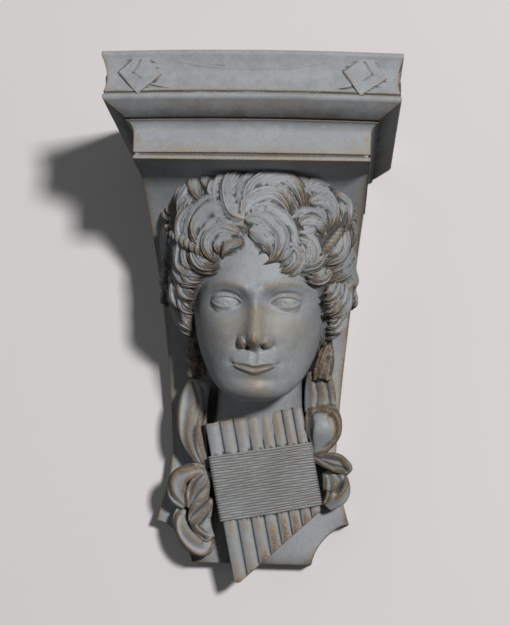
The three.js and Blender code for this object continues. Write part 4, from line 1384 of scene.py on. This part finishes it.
@dataclass(frozen=True)
class PanPipes:
    """Eight pipes side by side, their mass on the plate, and the cord bound round them."""

    count: int = 8
    pitch: float = 12.7
    spread: float = 0.2
    tilt: float = 11.5
    length: float = 170.0
    shortest: float = 109.0
    projection: float = 86.0
    rake: float = 26.0
    scallop: float = 4.0
    dip: float = 2.5
    mouth: float = 4.5
    sections: int = 18
    thickness: float = 17.0
    left: float = 55.0
    drop: float = 122.5
    binding_start: float = 37.0
    binding_length: float = 66.6
    rounds: int = 25
    proud: float = 3.0
    skew: float = 0.04
    groove: float = 1.25
    sway: tuple[float, float] = (0.35, 0.2)
    kept_from_wear: float = -0.42

    @property
    def width(self) -> float:
        """Width over all the pipes."""
        return self.count * self.pitch

    def place(self, across: np.ndarray, along: np.ndarray, out: np.ndarray) -> np.ndarray:
        """A point at steps across and down the pipes from their top left corner.

        Args:
            across: Steps across.
            along: Steps down along the pipes.
            out: Distance from the wall.

        Returns:
            The points.
        """
        tilt = np.radians(self.tilt)
        return xyz(LAYOUT.head_side - self.left + across * np.cos(tilt) + along * np.sin(tilt), -out,
                   LAYOUT.eyes - self.drop + across * np.sin(tilt) - along * np.cos(tilt))

    def front(self, along: np.ndarray) -> np.ndarray:
        """Distance of the pipes' front from the wall, falling evenly down their length."""
        return self.projection - self.rake * along / self.length

    def foot(self, across: np.ndarray) -> np.ndarray:
        """Length of the pipes at a place across them, cut on a slant with its tip blunted."""
        slant = self.length + (self.shortest - self.length) * across / self.width
        return slant - 6.0 * np.clip(1 - across / 7.0, 0, 1) ** 2

    def pipes(self) -> Form:
        """Upright sections of the pipes, each a power of a sine across, with dished mouths.

        Wear is on the crowns, in slow patches and more at the foot. The pipes are darkened
        between each other and in the mouths, as soiling and painted shade.

        Returns:
            The closed surface.
        """
        around = np.arange(self.count * self.sections + 1) / self.sections
        share = around / self.count
        across = (self.width * share * (1 + self.spread * (1 - share)))[:, None]
        crown = np.abs(np.sin(around * PI))[:, None] ** 0.45
        hollow = self.scallop * (1 - crown)
        foot = self.foot(across)
        lid = np.linspace(0, 1, 12)[None, :]
        bowl = crown * np.clip(1 - (2 * lid - 1) ** 2, 0, 1) ** 0.6 * rise(crown, 0.55, 0.8)
        top = self.place(across, self.dip * crown + self.mouth * bowl,
                         self.front(0) - self.thickness + (self.thickness - hollow) * lid)
        share = np.linspace(0, 1, 72)[None, 1:-1]
        along = self.dip * crown + (foot - self.dip * crown) * share
        soft = 0.9 * (bell(share, 0.006) + bell(1 - share, 0.006))
        body = self.place(across, along, self.front(along) - hollow - soft)
        end = self.place(across, foot + 0 * lid, self.front(foot) - hollow * (1 - lid)
                         - self.thickness * lid)
        back = self.place(across, foot + (self.dip * crown - foot) * np.linspace(0, 1, 8)[None, 1:-1],
                          self.front(foot / 2) - self.thickness)
        rings = np.concatenate([top, body, end, back], 1)
        ends, bare = 0 * lid + 0 * crown, np.zeros((len(crown), 6))
        # Darker between the pipes and in the mouths: soiling and painted shade.
        dirt_and_shade = np.concatenate([0.5 * bowl, 0.9 * (1 - crown) ** 2 + 0 * share, ends, bare], 1)
        patch = unevenness(body, 45.0)
        worn = 0.22 + 0.4 * rise(patch, -0.3, 0.5) + 0.35 * rise(share, 0.65, 1.0)
        rub = np.concatenate([0.6 + ends, worn * rise(crown, 0.6, 1.0), 0.6 + ends, bare], 1)
        return loft(rings, rub, dirt_and_shade)

    def backing(self) -> Form:
        """The mass that carries the pipes on the plate, inset behind them.

        Returns:
            The closed surface.
        """
        share = np.array([0, 0.5, 1])[:, None]
        across = self.pitch + (self.width - 2 * self.pitch) * share
        top, foot = self.pitch + 0 * share, self.foot(across) - self.pitch
        along = np.concatenate([top, top, foot, foot], 1)
        back = LAYOUT.plate - LAYOUT.root
        deep = self.front(along) - self.thickness / 2
        out = np.where(np.array([[True, False, False, True]]), back, deep)
        return loft(self.place(across, along, out))

    def binding(self) -> Form:
        """The cord: for every turn a ridge, a power of a sine, round the front and the sides.

        The turns sway by two sines, and lie askew by a share of the way across.

        Returns:
            The closed surface.
        """
        around = np.arange(self.rounds * 8 + 1) / 8
        along = (self.binding_start + self.binding_length * around / self.rounds)[:, None]
        ridge = np.abs(np.sin(around * PI))[:, None] ** 0.6
        proud = self.proud - self.groove * (1 - ridge)
        out = self.front(along) + proud
        back = self.front(along) - self.thickness - proud
        turn = np.linspace(0, PI / 2, 7)[None, :]
        ease = self.proud + 1.0
        left = -proud + ease * (1 - np.cos(turn))
        near = out - ease * (1 - np.sin(turn))
        middle = np.linspace(0, 1, 50)[None, 1:-1]
        flat = left[:, -1:] + (self.width - 2 * left[:, -1:]) * middle
        across = np.concatenate([-proud, left, flat, self.width - left[:, ::-1], self.width + proud], 1)
        away = np.concatenate([back, near, out + 0 * middle, near[:, ::-1], back], 1)
        slow, quick = self.sway
        sway = slow * np.sin(across / 17.0 + along / 9.0) + quick * np.sin(across / 5.0 + along)
        share = (along - self.binding_start) / self.binding_length
        skew = self.skew * (1 - 0.7 * share) * (across - self.width / 2)
        # Darker between the turns of the cord: painted shade and soiling.
        dirt_and_shade = 0.6 * (1 - ridge) ** 1.5 + 0 * across
        along = along + skew + sway * rise(share, 0, 0.06)
        return loft(self.place(across, along, away), self.kept_from_wear, dirt_and_shade)

    def forms(self) -> list[Form]:
        """Everything that the pan pipes are made of."""
        return [self.pipes(), self.backing(), self.binding()]


@dataclass(frozen=True)
class Fold:
    """The line of a fold over the cloth: a soft ridge with a groove along its steep side.

    Each station is right of the head's middle, over the eyes, and half the ridge's width.
    A height under 0 makes it a slit.
    """

    stations: tuple
    steep: int = 1
    worn: float = 0.3
    height: float = 1.0

    def relief(self, x: np.ndarray, z: np.ndarray) -> tuple[np.ndarray, np.ndarray]:
        """How far the fold stands out at each place, and how rubbed it is there.

        Across it, with s the distance off its line over half its width, the ridge is
        e^-(s / 0.6)^2 and the groove 0.9 e^-((s - steep) / 0.3)^2. Both die away at its ends.

        Args:
            x: Places right of the head's middle.
            z: Places over the eyes.

        Returns:
            Heights in millimetres, and wear.
        """
        rows = [[k, *station] for k, station in enumerate(self.stations)]
        share = np.linspace(0, 1, 60)
        line = through(rows, share * (len(rows) - 1))
        off_x, off_z = x[..., None] - line[:, 0], z[..., None] - line[:, 1]
        distance = np.hypot(off_x, off_z)
        near = distance.argmin(-1)
        onward = np.gradient(line[:, :2], axis=0)
        pick = [np.take_along_axis(off, near[..., None], -1)[..., 0]
                for off in (off_x, off_z, distance)]
        side = np.sign(pick[0] * onward[near, 1] - pick[1] * onward[near, 0])
        half = line[near, 2]
        s = side * pick[2] / half
        ends = np.sin(PI * (0.04 + 0.92 * share[near])) ** 0.5
        ridge = bell(s, 0.6)
        out = self.height * half * (ridge - 0.9 * bell(s - self.steep, 0.3)) * ends
        return out, 1.3 * self.worn * ridge * ends * (self.height > 0)


@dataclass(frozen=True)
class Hang:
    """A length of cloth let into the plate.

    Each station is right of the head's middle, out from the wall, over the eyes, and half
    the width.
    """

    stations: tuple
    dome: float = 0.42

    def form(self, folds: tuple) -> Form:
        """Sections along a smooth path, each a low dome with the folds' relief on it.

        Args:
            folds: The folds that cross it.

        Returns:
            The closed surface.
        """
        rows = [[k, *station] for k, station in enumerate(self.stations)]
        count = len(self.stations)
        x, out, z, half = np.moveaxis(through(rows, np.linspace(0, count - 1, count * 17)), -1, 0)
        middle = np.stack([x, -out, z], -1)
        onward = np.gradient(middle, axis=0)
        across = np.cross(onward, [0.0, -1.0, 0.0])
        across /= np.linalg.norm(across, axis=-1, keepdims=True)
        v = np.sin(np.linspace(-PI / 2, PI / 2, 41))[None, :]
        arch = np.sqrt(1 - v**2)
        front = middle[:, None] + across[:, None] * (half[:, None] * v)[..., None]
        reliefs = [fold.relief(front[..., 0], front[..., 2]) for fold in folds]
        relief = sum(part[0] for part in reliefs)
        worn = sum(part[1] for part in reliefs)
        front[..., 1] -= half[:, None] * (self.dome * arch - 0.2) + relief * (0.35 + 0.65 * arch**0.5)
        root = np.linspace(0.8, -0.8, 7)[None, :]
        rear = middle[:, None] + across[:, None] * (half[:, None] * root)[..., None]
        rear[..., 1] = -LAYOUT.plate + LAYOUT.root
        bare = 0 * half[:, None] + 0 * root
        points = np.concatenate([front, rear], 1) + [LAYOUT.head_side, 0, LAYOUT.eyes]
        # Darker in the grooves of the folds and towards the edges: painted shade and soiling.
        dirt_and_shade = 0.7 * rise(-relief, 0.3, 2.4) + 0.25 * (1 - arch)
        return loft(points, np.concatenate([0.1 + worn, bare], 1), np.concatenate([dirt_and_shade, bare], 1))


@dataclass(frozen=True)
class Cloths:
    """The two hanging cloths, from the top down, and the folds that cross them."""

    left: tuple = (
        Hang(((-62, 73, -78, 12), (-69, 68, -103, 16), (-69, 66, -131, 15), (-61, 64, -155, 9),
              (-54, 62, -169, 4))),
        Hang(((-52, 62, -169, 4), (-67, 70, -171, 8), (-81, 70, -180, 10), (-82, 65, -196, 10),
              (-74, 58, -208, 5))),
        Hang(((-52, 63, -171, 5), (-59, 69, -186, 11), (-63, 67, -200, 12), (-68, 60, -211, 8))),
        Hang(((-50, 62, -197, 6), (-56, 66, -208, 11), (-59, 64, -220, 12), (-54, 60, -232, 9),
              (-47, 54, -241, 5))),
        Hang(((-79, 52, -209, 5), (-80, 55, -222, 8), (-75, 55, -235, 9), (-65, 56, -246, 10),
              (-54, 54, -250, 9), (-46, 50, -243, 5))),
    )
    left_folds: tuple = (
        Fold(((-72, -83, 4.7), (-68, -100, 5.9), (-71, -117, 6.2), (-73, -134, 5.7), (-69, -150, 4.1),
              (-61, -163, 2.6), (-54, -170, 1.5)), -1, 0.5),
        Fold(((-63, -86, 4.2), (-60, -103, 4.3), (-63, -122, 4.3), (-60, -141, 3.6), (-56, -157, 2.5),
              (-54, -169, 1.3)), -1, 0.5),
        Fold(((-75, -79, 3.8), (-82, -101, 4.7), (-83, -122, 4.5), (-81, -143, 3.8), (-73, -159, 2.6),
              (-56, -170, 1.3)), 1, 0.3),
        Fold(((-57, -91, 2.5), (-53, -112, 2.8), (-52, -133, 2.6), (-53, -152, 2.1),
              (-54, -168, 1.3)), -1, 0.3),
        Fold(((-52, -170, 1.5), (-61, -169, 3.2), (-72, -170, 4.7), (-83, -173, 4.9), (-88, -183, 4.1),
              (-85, -196, 3.8), (-73, -208, 1.9)), 1, 0.6),
        Fold(((-53, -171, 1.5), (-62, -175, 3.8), (-70, -182, 5.3), (-74, -193, 5.1),
              (-72, -207, 2.1)), -1, 0.5),
        Fold(((-52, -176, 1.9), (-56, -184, 3.4), (-64, -192, 4.1), (-70, -203, 3.4),
              (-72, -211, 1.9)), -1, 0.3),
        Fold(((-50, -185, 2.3), (-53, -197, 4.1), (-62, -206, 4.7), (-70, -216, 3.4),
              (-72, -225, 1.9)), -1, 0.3),
        Fold(((-50, -198, 1.9), (-51, -209, 3.6), (-59, -220, 4.3), (-64, -228, 3.8), (-56, -236, 3.4),
              (-46, -239, 1.5)), -1, 0.4),
        Fold(((-74, -209, 1.9), (-81, -217, 3.6), (-83, -227, 3.6), (-80, -239, 3.8), (-71, -250, 3.9),
              (-60, -257, 3.8), (-51, -256, 3.6), (-46, -246, 2.8), (-45, -238, 1.3)), 1, 0.5),
        Fold(((-78, -217, 2.8), (-74, -230, 5.7), (-64, -241, 6.6), (-53, -245, 4.7),
              (-46, -241, 1.9)), -1, 0.2),
    )
    right: tuple = (
        Hang(((61, 75, -66, 12), (63, 70, -85, 16), (64, 65, -108, 17))),
        Hang(((64, 66, -101, 13), (66, 78, -113, 19), (67, 79, -129, 19), (63, 70, -144, 11),
              (56, 62, -154, 4)), 0.5),
        Hang(((56, 62, -153, 4), (69, 70, -157, 8), (81, 72, -160, 10), (90, 66, -164, 8),
              (95, 58, -169, 5))),
        Hang(((76, 56, -166, 10), (81, 60, -180, 14), (82, 58, -192, 13), (72, 51, -205, 6))),
    )
    right_folds: tuple = (
        Fold(((52, -65, 2.8), (54, -78, 4.1), (56, -91, 4.7), (55, -107, 4.3)), -1, 0.3),
        Fold(((63, -65, 3.4), (65, -78, 4.5), (68, -93, 4.9), (70, -109, 4.5)), -1, 0.4),
        Fold(((73, -66, 3.2), (76, -79, 4.3), (80, -92, 4.3), (82, -108, 3.8)), -1, 0.3),
        Fold(((48, -108, 2.3), (58, -105, 3.4), (70, -106, 4.1), (80, -111, 4.5), (85, -123, 4.5),
              (83, -136, 4.3), (73, -146, 3.6), (56, -152, 1.5)), 1, 0.8),
        Fold(((49, -107, 2.5), (48, -118, 3.8), (50, -131, 3.9), (54, -144, 2.8),
              (56, -152, 1.3)), -1, 0.5),
        Fold(((56, -152, 1.5), (65, -151, 3.6), (76, -151, 4.7), (87, -154, 4.5), (93, -163, 3.4),
              (95, -171, 1.7)), 1, 0.5),
        Fold(((57, -154, 1.5), (65, -161, 3.4), (76, -167, 4.3), (86, -168, 3.7),
              (95, -171, 1.7)), -1, 0.4),
        Fold(((94, -169, 2.3), (94, -178, 4.1), (89, -188, 4.9), (79, -197, 4.5),
              (68, -204, 1.9)), 1, 0.5),
        Fold(((77, -169, 2.8), (81, -179, 4.9), (77, -191, 4.7), (69, -204, 1.9)), -1, 0.3),
        Fold(((70, -170, 1.7), (72, -180, 2.8), (71, -193, 2.8), (68, -204, 1.3)), -1, 0.3),
        Fold(((52, -106, 3.5), (54, -122, 4), (52, -140, 3.2), (55, -150, 2)), 1, 0.0, -1.5),
        Fold(((60, -104, 8), (74, -108, 9), (82, -122, 9), (79, -138, 8)), 1, 0.6, 0.15),
    )

    def forms(self) -> list[Form]:
        """Every length of cloth, with its folds."""
        return ([hang.form(self.left_folds) for hang in self.left]
                + [hang.form(self.right_folds) for hang in self.right])


# Finishes


class Board:
    """Lays out and links the nodes of one material or node group."""

    def __init__(self, tree: bpy.types.NodeTree) -> None:
        """Starts on an empty tree."""
        self.tree = tree

    def node(self, kind: str, inputs: dict | None = None, **settings: object) -> bpy.types.Node:
        """A new node.

        Args:
            kind: Its type.
            inputs: What goes into its sockets, by name or number: a value or another socket.
            settings: Properties of the node.

        Returns:
            The node.
        """
        made = self.tree.nodes.new(kind)
        for label, value in settings.items():
            setattr(made, label, value)
        for label, value in (inputs or {}).items():
            if isinstance(value, bpy.types.NodeSocket):
                self.tree.links.new(value, made.inputs[label])
            else:
                made.inputs[label].default_value = value
        return made

    def maths(self, operation: str, *values: object) -> bpy.types.NodeSocket:
        """The result of a sum on values or sockets."""
        return self.node("ShaderNodeMath", dict(enumerate(values)), operation=operation).outputs[0]

    def step(self, value: object, low: float, high: float, start: float = 0.0,
             end: float = 1.0) -> bpy.types.NodeSocket:
        """A value carried smoothly from one range to another.

        Args:
            value: A number or socket.
            low: Where the first range starts.
            high: Where it ends.
            start: What low becomes.
            end: What high becomes.

        Returns:
            The result.
        """
        return self.node("ShaderNodeMapRange", {"Value": value, "From Min": low, "From Max": high,
                                                "To Min": start, "To Max": end},
                         interpolation_type="SMOOTHSTEP").outputs["Result"]

    def mix(self, factor: object, first: object, second: object) -> bpy.types.NodeSocket:
        """Two colours mixed by a factor."""
        return self.node("ShaderNodeMix", {0: factor, 6: first, 7: second},
                         data_type="RGBA").outputs[2]

    def put(self, value: bpy.types.NodeSocket, share: float,
            over: object, colour: object) -> bpy.types.NodeSocket:
        """A colour laid over another by a share of a mask."""
        return self.mix(self.maths("MULTIPLY", value, share), over, colour)

    def noise(self, place: bpy.types.NodeSocket, scale: object, detail: float = 3.0,
              roughness: float = 0.55) -> bpy.types.NodeSocket:
        """Noise on a place, from 0 to 1."""
        return self.node("ShaderNodeTexNoise", {"Vector": place, "Scale": scale, "Detail": detail,
                                                "Roughness": roughness}).outputs["Fac"]

    def attribute(self, name: str) -> bpy.types.NodeSocket:
        """A number kept at each point of the mesh."""
        return self.node("ShaderNodeAttribute", attribute_name=name).outputs["Fac"]


def group(name: str, inputs: dict[str, float],
          outputs: tuple[str, ...]) -> tuple[Board, dict, dict]:
    """A new shader node group with its inputs and outputs.

    Args:
        name: The group's name.
        inputs: Name and first value of each number that goes in.
        outputs: Name of each number that comes out.

    Returns:
        The board, the sockets that come in and the sockets to feed.
    """
    tree = bpy.data.node_groups.new(name, "ShaderNodeTree")
    for label, value in inputs.items():
        entry = tree.interface.new_socket(label, in_out="INPUT", socket_type="NodeSocketFloat")
        entry.default_value = value
    for label in outputs:
        tree.interface.new_socket(label, in_out="OUTPUT", socket_type="NodeSocketFloat")
    board = Board(tree)
    enter, leave = board.node("NodeGroupInput"), board.node("NodeGroupOutput")
    return board, dict(enter.outputs.items()), dict(leave.inputs.items())


def grain_group() -> bpy.types.NodeTree:
    """The glaze's grain: slow mottling, dark pinholes, pale flecks and a height for bump.

    Returns:
        The node group.
    """
    board, put, get = group("fired grain", {"Size": 1.0}, ("Mottle", "Dark", "Pale", "Height"))
    place = board.node("ShaderNodeTexCoord").outputs["Object"]
    size = put["Size"]
    broad = board.noise(place, board.maths("MULTIPLY", size, 24.0), 4.0)
    middle = board.noise(place, board.maths("MULTIPLY", size, 150.0), 3.0)
    fine = board.noise(place, board.maths("MULTIPLY", size, 780.0), 2.0, 0.6)
    flecks = board.noise(place, board.maths("MULTIPLY", size, 1050.0), 1.0, 0.5)
    mottle = board.maths("MULTIPLY_ADD", broad, 0.6, board.maths("MULTIPLY", middle, 0.4))
    links = board.tree.links
    links.new(board.step(mottle, 0.36, 0.64), get["Mottle"])
    links.new(board.step(fine, 0.61, 0.72), get["Dark"])
    links.new(board.step(flecks, 0.62, 0.74), get["Pale"])
    height = board.maths("MULTIPLY_ADD", fine, 0.6, middle)
    links.new(height, get["Height"])
    return board.tree


def wear_group() -> bpy.types.NodeTree:
    """Wear, soiling and painted shade: the piece's own marks, broken up by noise of two sizes.

    Rubbed is a smooth step of the wear plus noise, Edge one of the wear times noise, and
    the darkening one of the soiling and painted shade times noise.

    Returns:
        The node group.
    """
    board, put, get = group("rub, grime and shade", {"Rub": 1.0, "Shade_and_grime": 1.0}, ("Rubbed", "Edge", "Shaded_and_grimy"))
    place = board.node("ShaderNodeTexCoord").outputs["Object"]
    patch = board.noise(place, 42.0, 5.0, 0.62)
    crumb = board.noise(place, 420.0, 3.0, 0.6)
    rub = board.maths("MULTIPLY", board.attribute("rub"), put["Rub"])
    grime_and_shade = board.maths("MULTIPLY", board.attribute("grime_and_shade"), put["Shade_and_grime"])
    broken = board.maths("MULTIPLY_ADD", patch, 0.9, board.maths("MULTIPLY", crumb, 0.15))
    links = board.tree.links
    worn = board.maths("ADD", rub, board.maths("SUBTRACT", broken, 0.52))
    links.new(board.step(worn, 0.1, 1.0), get["Rubbed"])
    bare = board.maths("MULTIPLY", rub, board.maths("ADD", crumb, 0.45))
    links.new(board.step(bare, 0.68, 1.0), get["Edge"])
    dirt_and_shade = board.maths("MULTIPLY", grime_and_shade, board.maths("ADD", patch, 0.6))
    links.new(board.step(dirt_and_shade, 0.12, 0.95), get["Shaded_and_grimy"])
    return board.tree


Colour = tuple[float, float, float, float]


@dataclass(frozen=True)
class Finish:
    """A fired clay surface: its glaze, the body where it is rubbed, and the darkening of its hollows,
    soiling and painted shade.
    """

    name: str
    light: Colour
    dark: Colour
    rubbed: Colour
    edge: Colour
    grime_and_shade: Colour
    roughness: tuple[float, float] = (0.5, 0.62)
    rub: float = 1.0
    soil_and_shade: float = 1.0
    bump: float = 0.5
    size: float = 1.0

    def material(self, grain: bpy.types.NodeTree, wear: bpy.types.NodeTree) -> bpy.types.Material:
        """The finish as a material.

        Args:
            grain: The grain's node group.
            wear: The wear's node group.

        Returns:
            The material.
        """
        made = bpy.data.materials.new(self.name)
        made.use_nodes = True
        made.node_tree.nodes.clear()
        board = Board(made.node_tree)
        fired = board.node("ShaderNodeGroup", node_tree=grain)
        fired.inputs["Size"].default_value = self.size
        marks = board.node("ShaderNodeGroup", node_tree=wear)
        marks.inputs["Rub"].default_value = self.rub
        marks.inputs["Shade_and_grime"].default_value = self.soil_and_shade
        colour = board.mix(fired.outputs["Mottle"], self.dark, self.light)
        pale = tuple(min(1.0, 1.7 * part) for part in self.light[:3]) + (1.0,)
        colour = board.put(marks.outputs["Rubbed"], 0.8, colour, self.rubbed)
        colour = board.put(marks.outputs["Edge"], 0.65, colour, self.edge)
        # Near black laid into creases, gaps and undersides: soiling, and painted shade.
        colour = board.put(marks.outputs["Shaded_and_grimy"], 0.85, colour, self.grime_and_shade)
        colour = board.put(fired.outputs["Dark"], 0.5, colour, self.edge)
        colour = board.put(fired.outputs["Pale"], 0.3, colour, pale)
        rough = board.step(fired.outputs["Mottle"], 0.0, 1.0, *self.roughness)
        rough = board.maths("ADD", rough, board.maths("MULTIPLY", marks.outputs["Shaded_and_grimy"], 0.2))
        bump = board.node("ShaderNodeBump", {"Strength": self.bump, "Distance": 0.0004,
                                             "Height": fired.outputs["Height"]})
        shader = board.node("ShaderNodeBsdfPrincipled", {
            "Base Color": colour, "Roughness": rough, "Normal": bump.outputs["Normal"]})
        board.node("ShaderNodeOutputMaterial", {"Surface": shader.outputs[0]})
        return made


GLAZE = Finish("glazed_terracotta", light=(0.330, 0.352, 0.370, 1), dark=(0.262, 0.280, 0.294, 1),
               rubbed=(0.285, 0.215, 0.130, 1), edge=(0.130, 0.080, 0.045, 1),
               grime_and_shade=(0.045, 0.038, 0.032, 1))
UMBER = Finish("umber_terracotta", light=(0.200, 0.150, 0.108, 1), dark=(0.115, 0.086, 0.064, 1),
               rubbed=(0.270, 0.200, 0.130, 1), edge=(0.300, 0.260, 0.210, 1),
               grime_and_shade=(0.022, 0.018, 0.015, 1), bump=0.9, size=0.7)


# Studio


@dataclass(frozen=True)
class Lamp:
    """A square soft light: its name, place, side, power in watts and colour."""

    name: str
    place: tuple[float, float, float]
    size: float
    power: float
    colour: tuple[float, float, float]


@dataclass(frozen=True)
class Studio:
    """Floor, backdrop, soft light and the camera, in metres and radians."""

    floor: float = -0.95
    reach: float = 6.0
    gap: float = 0.003
    camera_place: tuple[float, float, float] = (0.08143, -1.62254, -0.2254)
    yaw: float = 0.0528
    pitch: float = 0.1552
    roll: float = 0.0261
    focal_pixels: float = 1500.0
    image_height: float = 625.0
    sensor: float = 36.0
    lamps: tuple[Lamp, ...] = (
        Lamp("key", (1.74, -4.62, 0.77), 0.5, 210.0, (1.0, 0.985, 0.975)),
        Lamp("fill", (-2.2, -2.0, -0.2), 2.2, 5.0, (0.97, 0.985, 1.0)))
    aim: tuple[float, float, float] = (0.0, -0.1, 0.0)
    paper: Colour = (0.725, 0.702, 0.70, 1)
    glow: Colour = (0.95, 0.97, 1.0, 1)
    glow_strength: float = 0.085

    def camera(self) -> None:
        """The camera, from its place and its yaw, pitch and roll."""
        yaw, pitch, roll = self.yaw, self.pitch, self.roll
        ahead = Vector((-np.sin(yaw) * np.cos(pitch), np.cos(yaw) * np.cos(pitch), np.sin(pitch)))
        level = Vector((np.cos(yaw), np.sin(yaw), 0.0))
        upright = level.cross(ahead)
        right = np.cos(roll) * level + np.sin(roll) * upright
        up = -np.sin(roll) * level + np.cos(roll) * upright
        data = bpy.data.cameras.new("camera")
        data.sensor_width = self.sensor
        data.lens = self.focal_pixels / self.image_height * self.sensor
        made = bpy.data.objects.new("camera", data)
        turned = Matrix((right, up, -ahead)).transposed().to_4x4()
        made.matrix_world = Matrix.Translation(self.camera_place) @ turned
        bpy.context.scene.collection.objects.link(made)
        bpy.context.scene.camera = made

    def light(self, lamp: Lamp) -> None:
        """A light that faces the head.

        Args:
            lamp: What it is.
        """
        data = bpy.data.lights.new(lamp.name, "AREA")
        data.size, data.energy, data.color = lamp.size, lamp.power, lamp.colour
        made = bpy.data.objects.new(lamp.name, data)
        turn = (Vector(self.aim) - Vector(lamp.place)).to_track_quat("-Z", "Y")
        made.matrix_world = Matrix.Translation(lamp.place) @ turn.to_matrix().to_4x4()
        bpy.context.scene.collection.objects.link(made)

    def sweep(self) -> None:
        """A pale floor and a backdrop just behind the back, seen from the front alone.

        The profile runs along the floor and up the back, and is carried sideways.
        """
        y = np.array([-self.reach, self.gap, self.gap])
        z = np.array([self.floor, self.floor, self.reach])
        x = np.array([-self.reach, self.reach])
        points = xyz(x[None, :], y[:, None], z[:, None]).reshape(-1, 3)
        mesh = bpy.data.meshes.new("backdrop")
        mesh.from_pydata(points.tolist(), [], [(0, 1, 3, 2), (2, 3, 5, 4)])
        made = bpy.data.objects.new("backdrop", mesh)
        bpy.context.scene.collection.objects.link(made)
        paper = bpy.data.materials.new("pale_paper")
        paper.use_nodes = True
        paper.node_tree.nodes.clear()
        board = Board(paper.node_tree)
        seen = board.node("ShaderNodeLightPath").outputs["Is Camera Ray"]
        behind = board.node("ShaderNodeNewGeometry").outputs["Backfacing"]
        shown = board.maths("MULTIPLY", seen, board.maths("SUBTRACT", 1.0, behind))
        sheet = board.node("ShaderNodeBsdfDiffuse", {"Color": self.paper})
        clear = board.node("ShaderNodeBsdfTransparent")
        both = board.node("ShaderNodeMixShader", {0: shown, 1: clear.outputs[0], 2: sheet.outputs[0]})
        board.node("ShaderNodeOutputMaterial", {"Surface": both.outputs[0]})
        mesh.materials.append(paper)

    def build(self) -> None:
        """Camera, lights, world and backdrop."""
        self.camera()
        for lamp in self.lamps:
            self.light(lamp)
        self.sweep()
        world = bpy.data.worlds.new("studio")
        world.use_nodes = True
        background = world.node_tree.nodes["Background"]
        background.inputs["Color"].default_value = self.glow
        background.inputs["Strength"].default_value = self.glow_strength
        bpy.context.scene.world = world
        bpy.context.scene.view_settings.view_transform = "Standard"


def main() -> None:
    """Builds every sub-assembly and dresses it."""
    logging.basicConfig(level=logging.INFO, format="%(name)s %(message)s", stream=sys.stdout)
    Studio().build()
    grain, wear = grain_group(), wear_group()
    glaze, umber = GLAZE.material(grain, wear), UMBER.material(grain, wear)
    finished(fused("shelf_and_console", [*Shelf().forms(), *Console().forms()]), glaze,
             uneven=0.35, sharp=30)
    finished(fused("face_and_neck", Head().forms()), glaze, uneven=0.2, sharp=60, soft=1, marks=0.6)
    finished(fused("hair", Hair().forms()), glaze, uneven=0.25, sharp=70, soft=5, marks=1.15)
    finished(fused("side_hair", Hair().behind()), glaze, uneven=0.25, sharp=70, soft=4, marks=1.15)
    finished(fused("ear_drops", EarDrops().forms()), umber, uneven=0.3, sharp=60, soft=1)
    finished(fused("pan_pipes", PanPipes().forms()), glaze, uneven=0.25, sharp=45)
    finished(fused("cloth_knots", Cloths().forms()), glaze, uneven=0.3, sharp=60, soft=1, marks=0.95)
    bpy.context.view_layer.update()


if __name__ == "__main__":
    main()
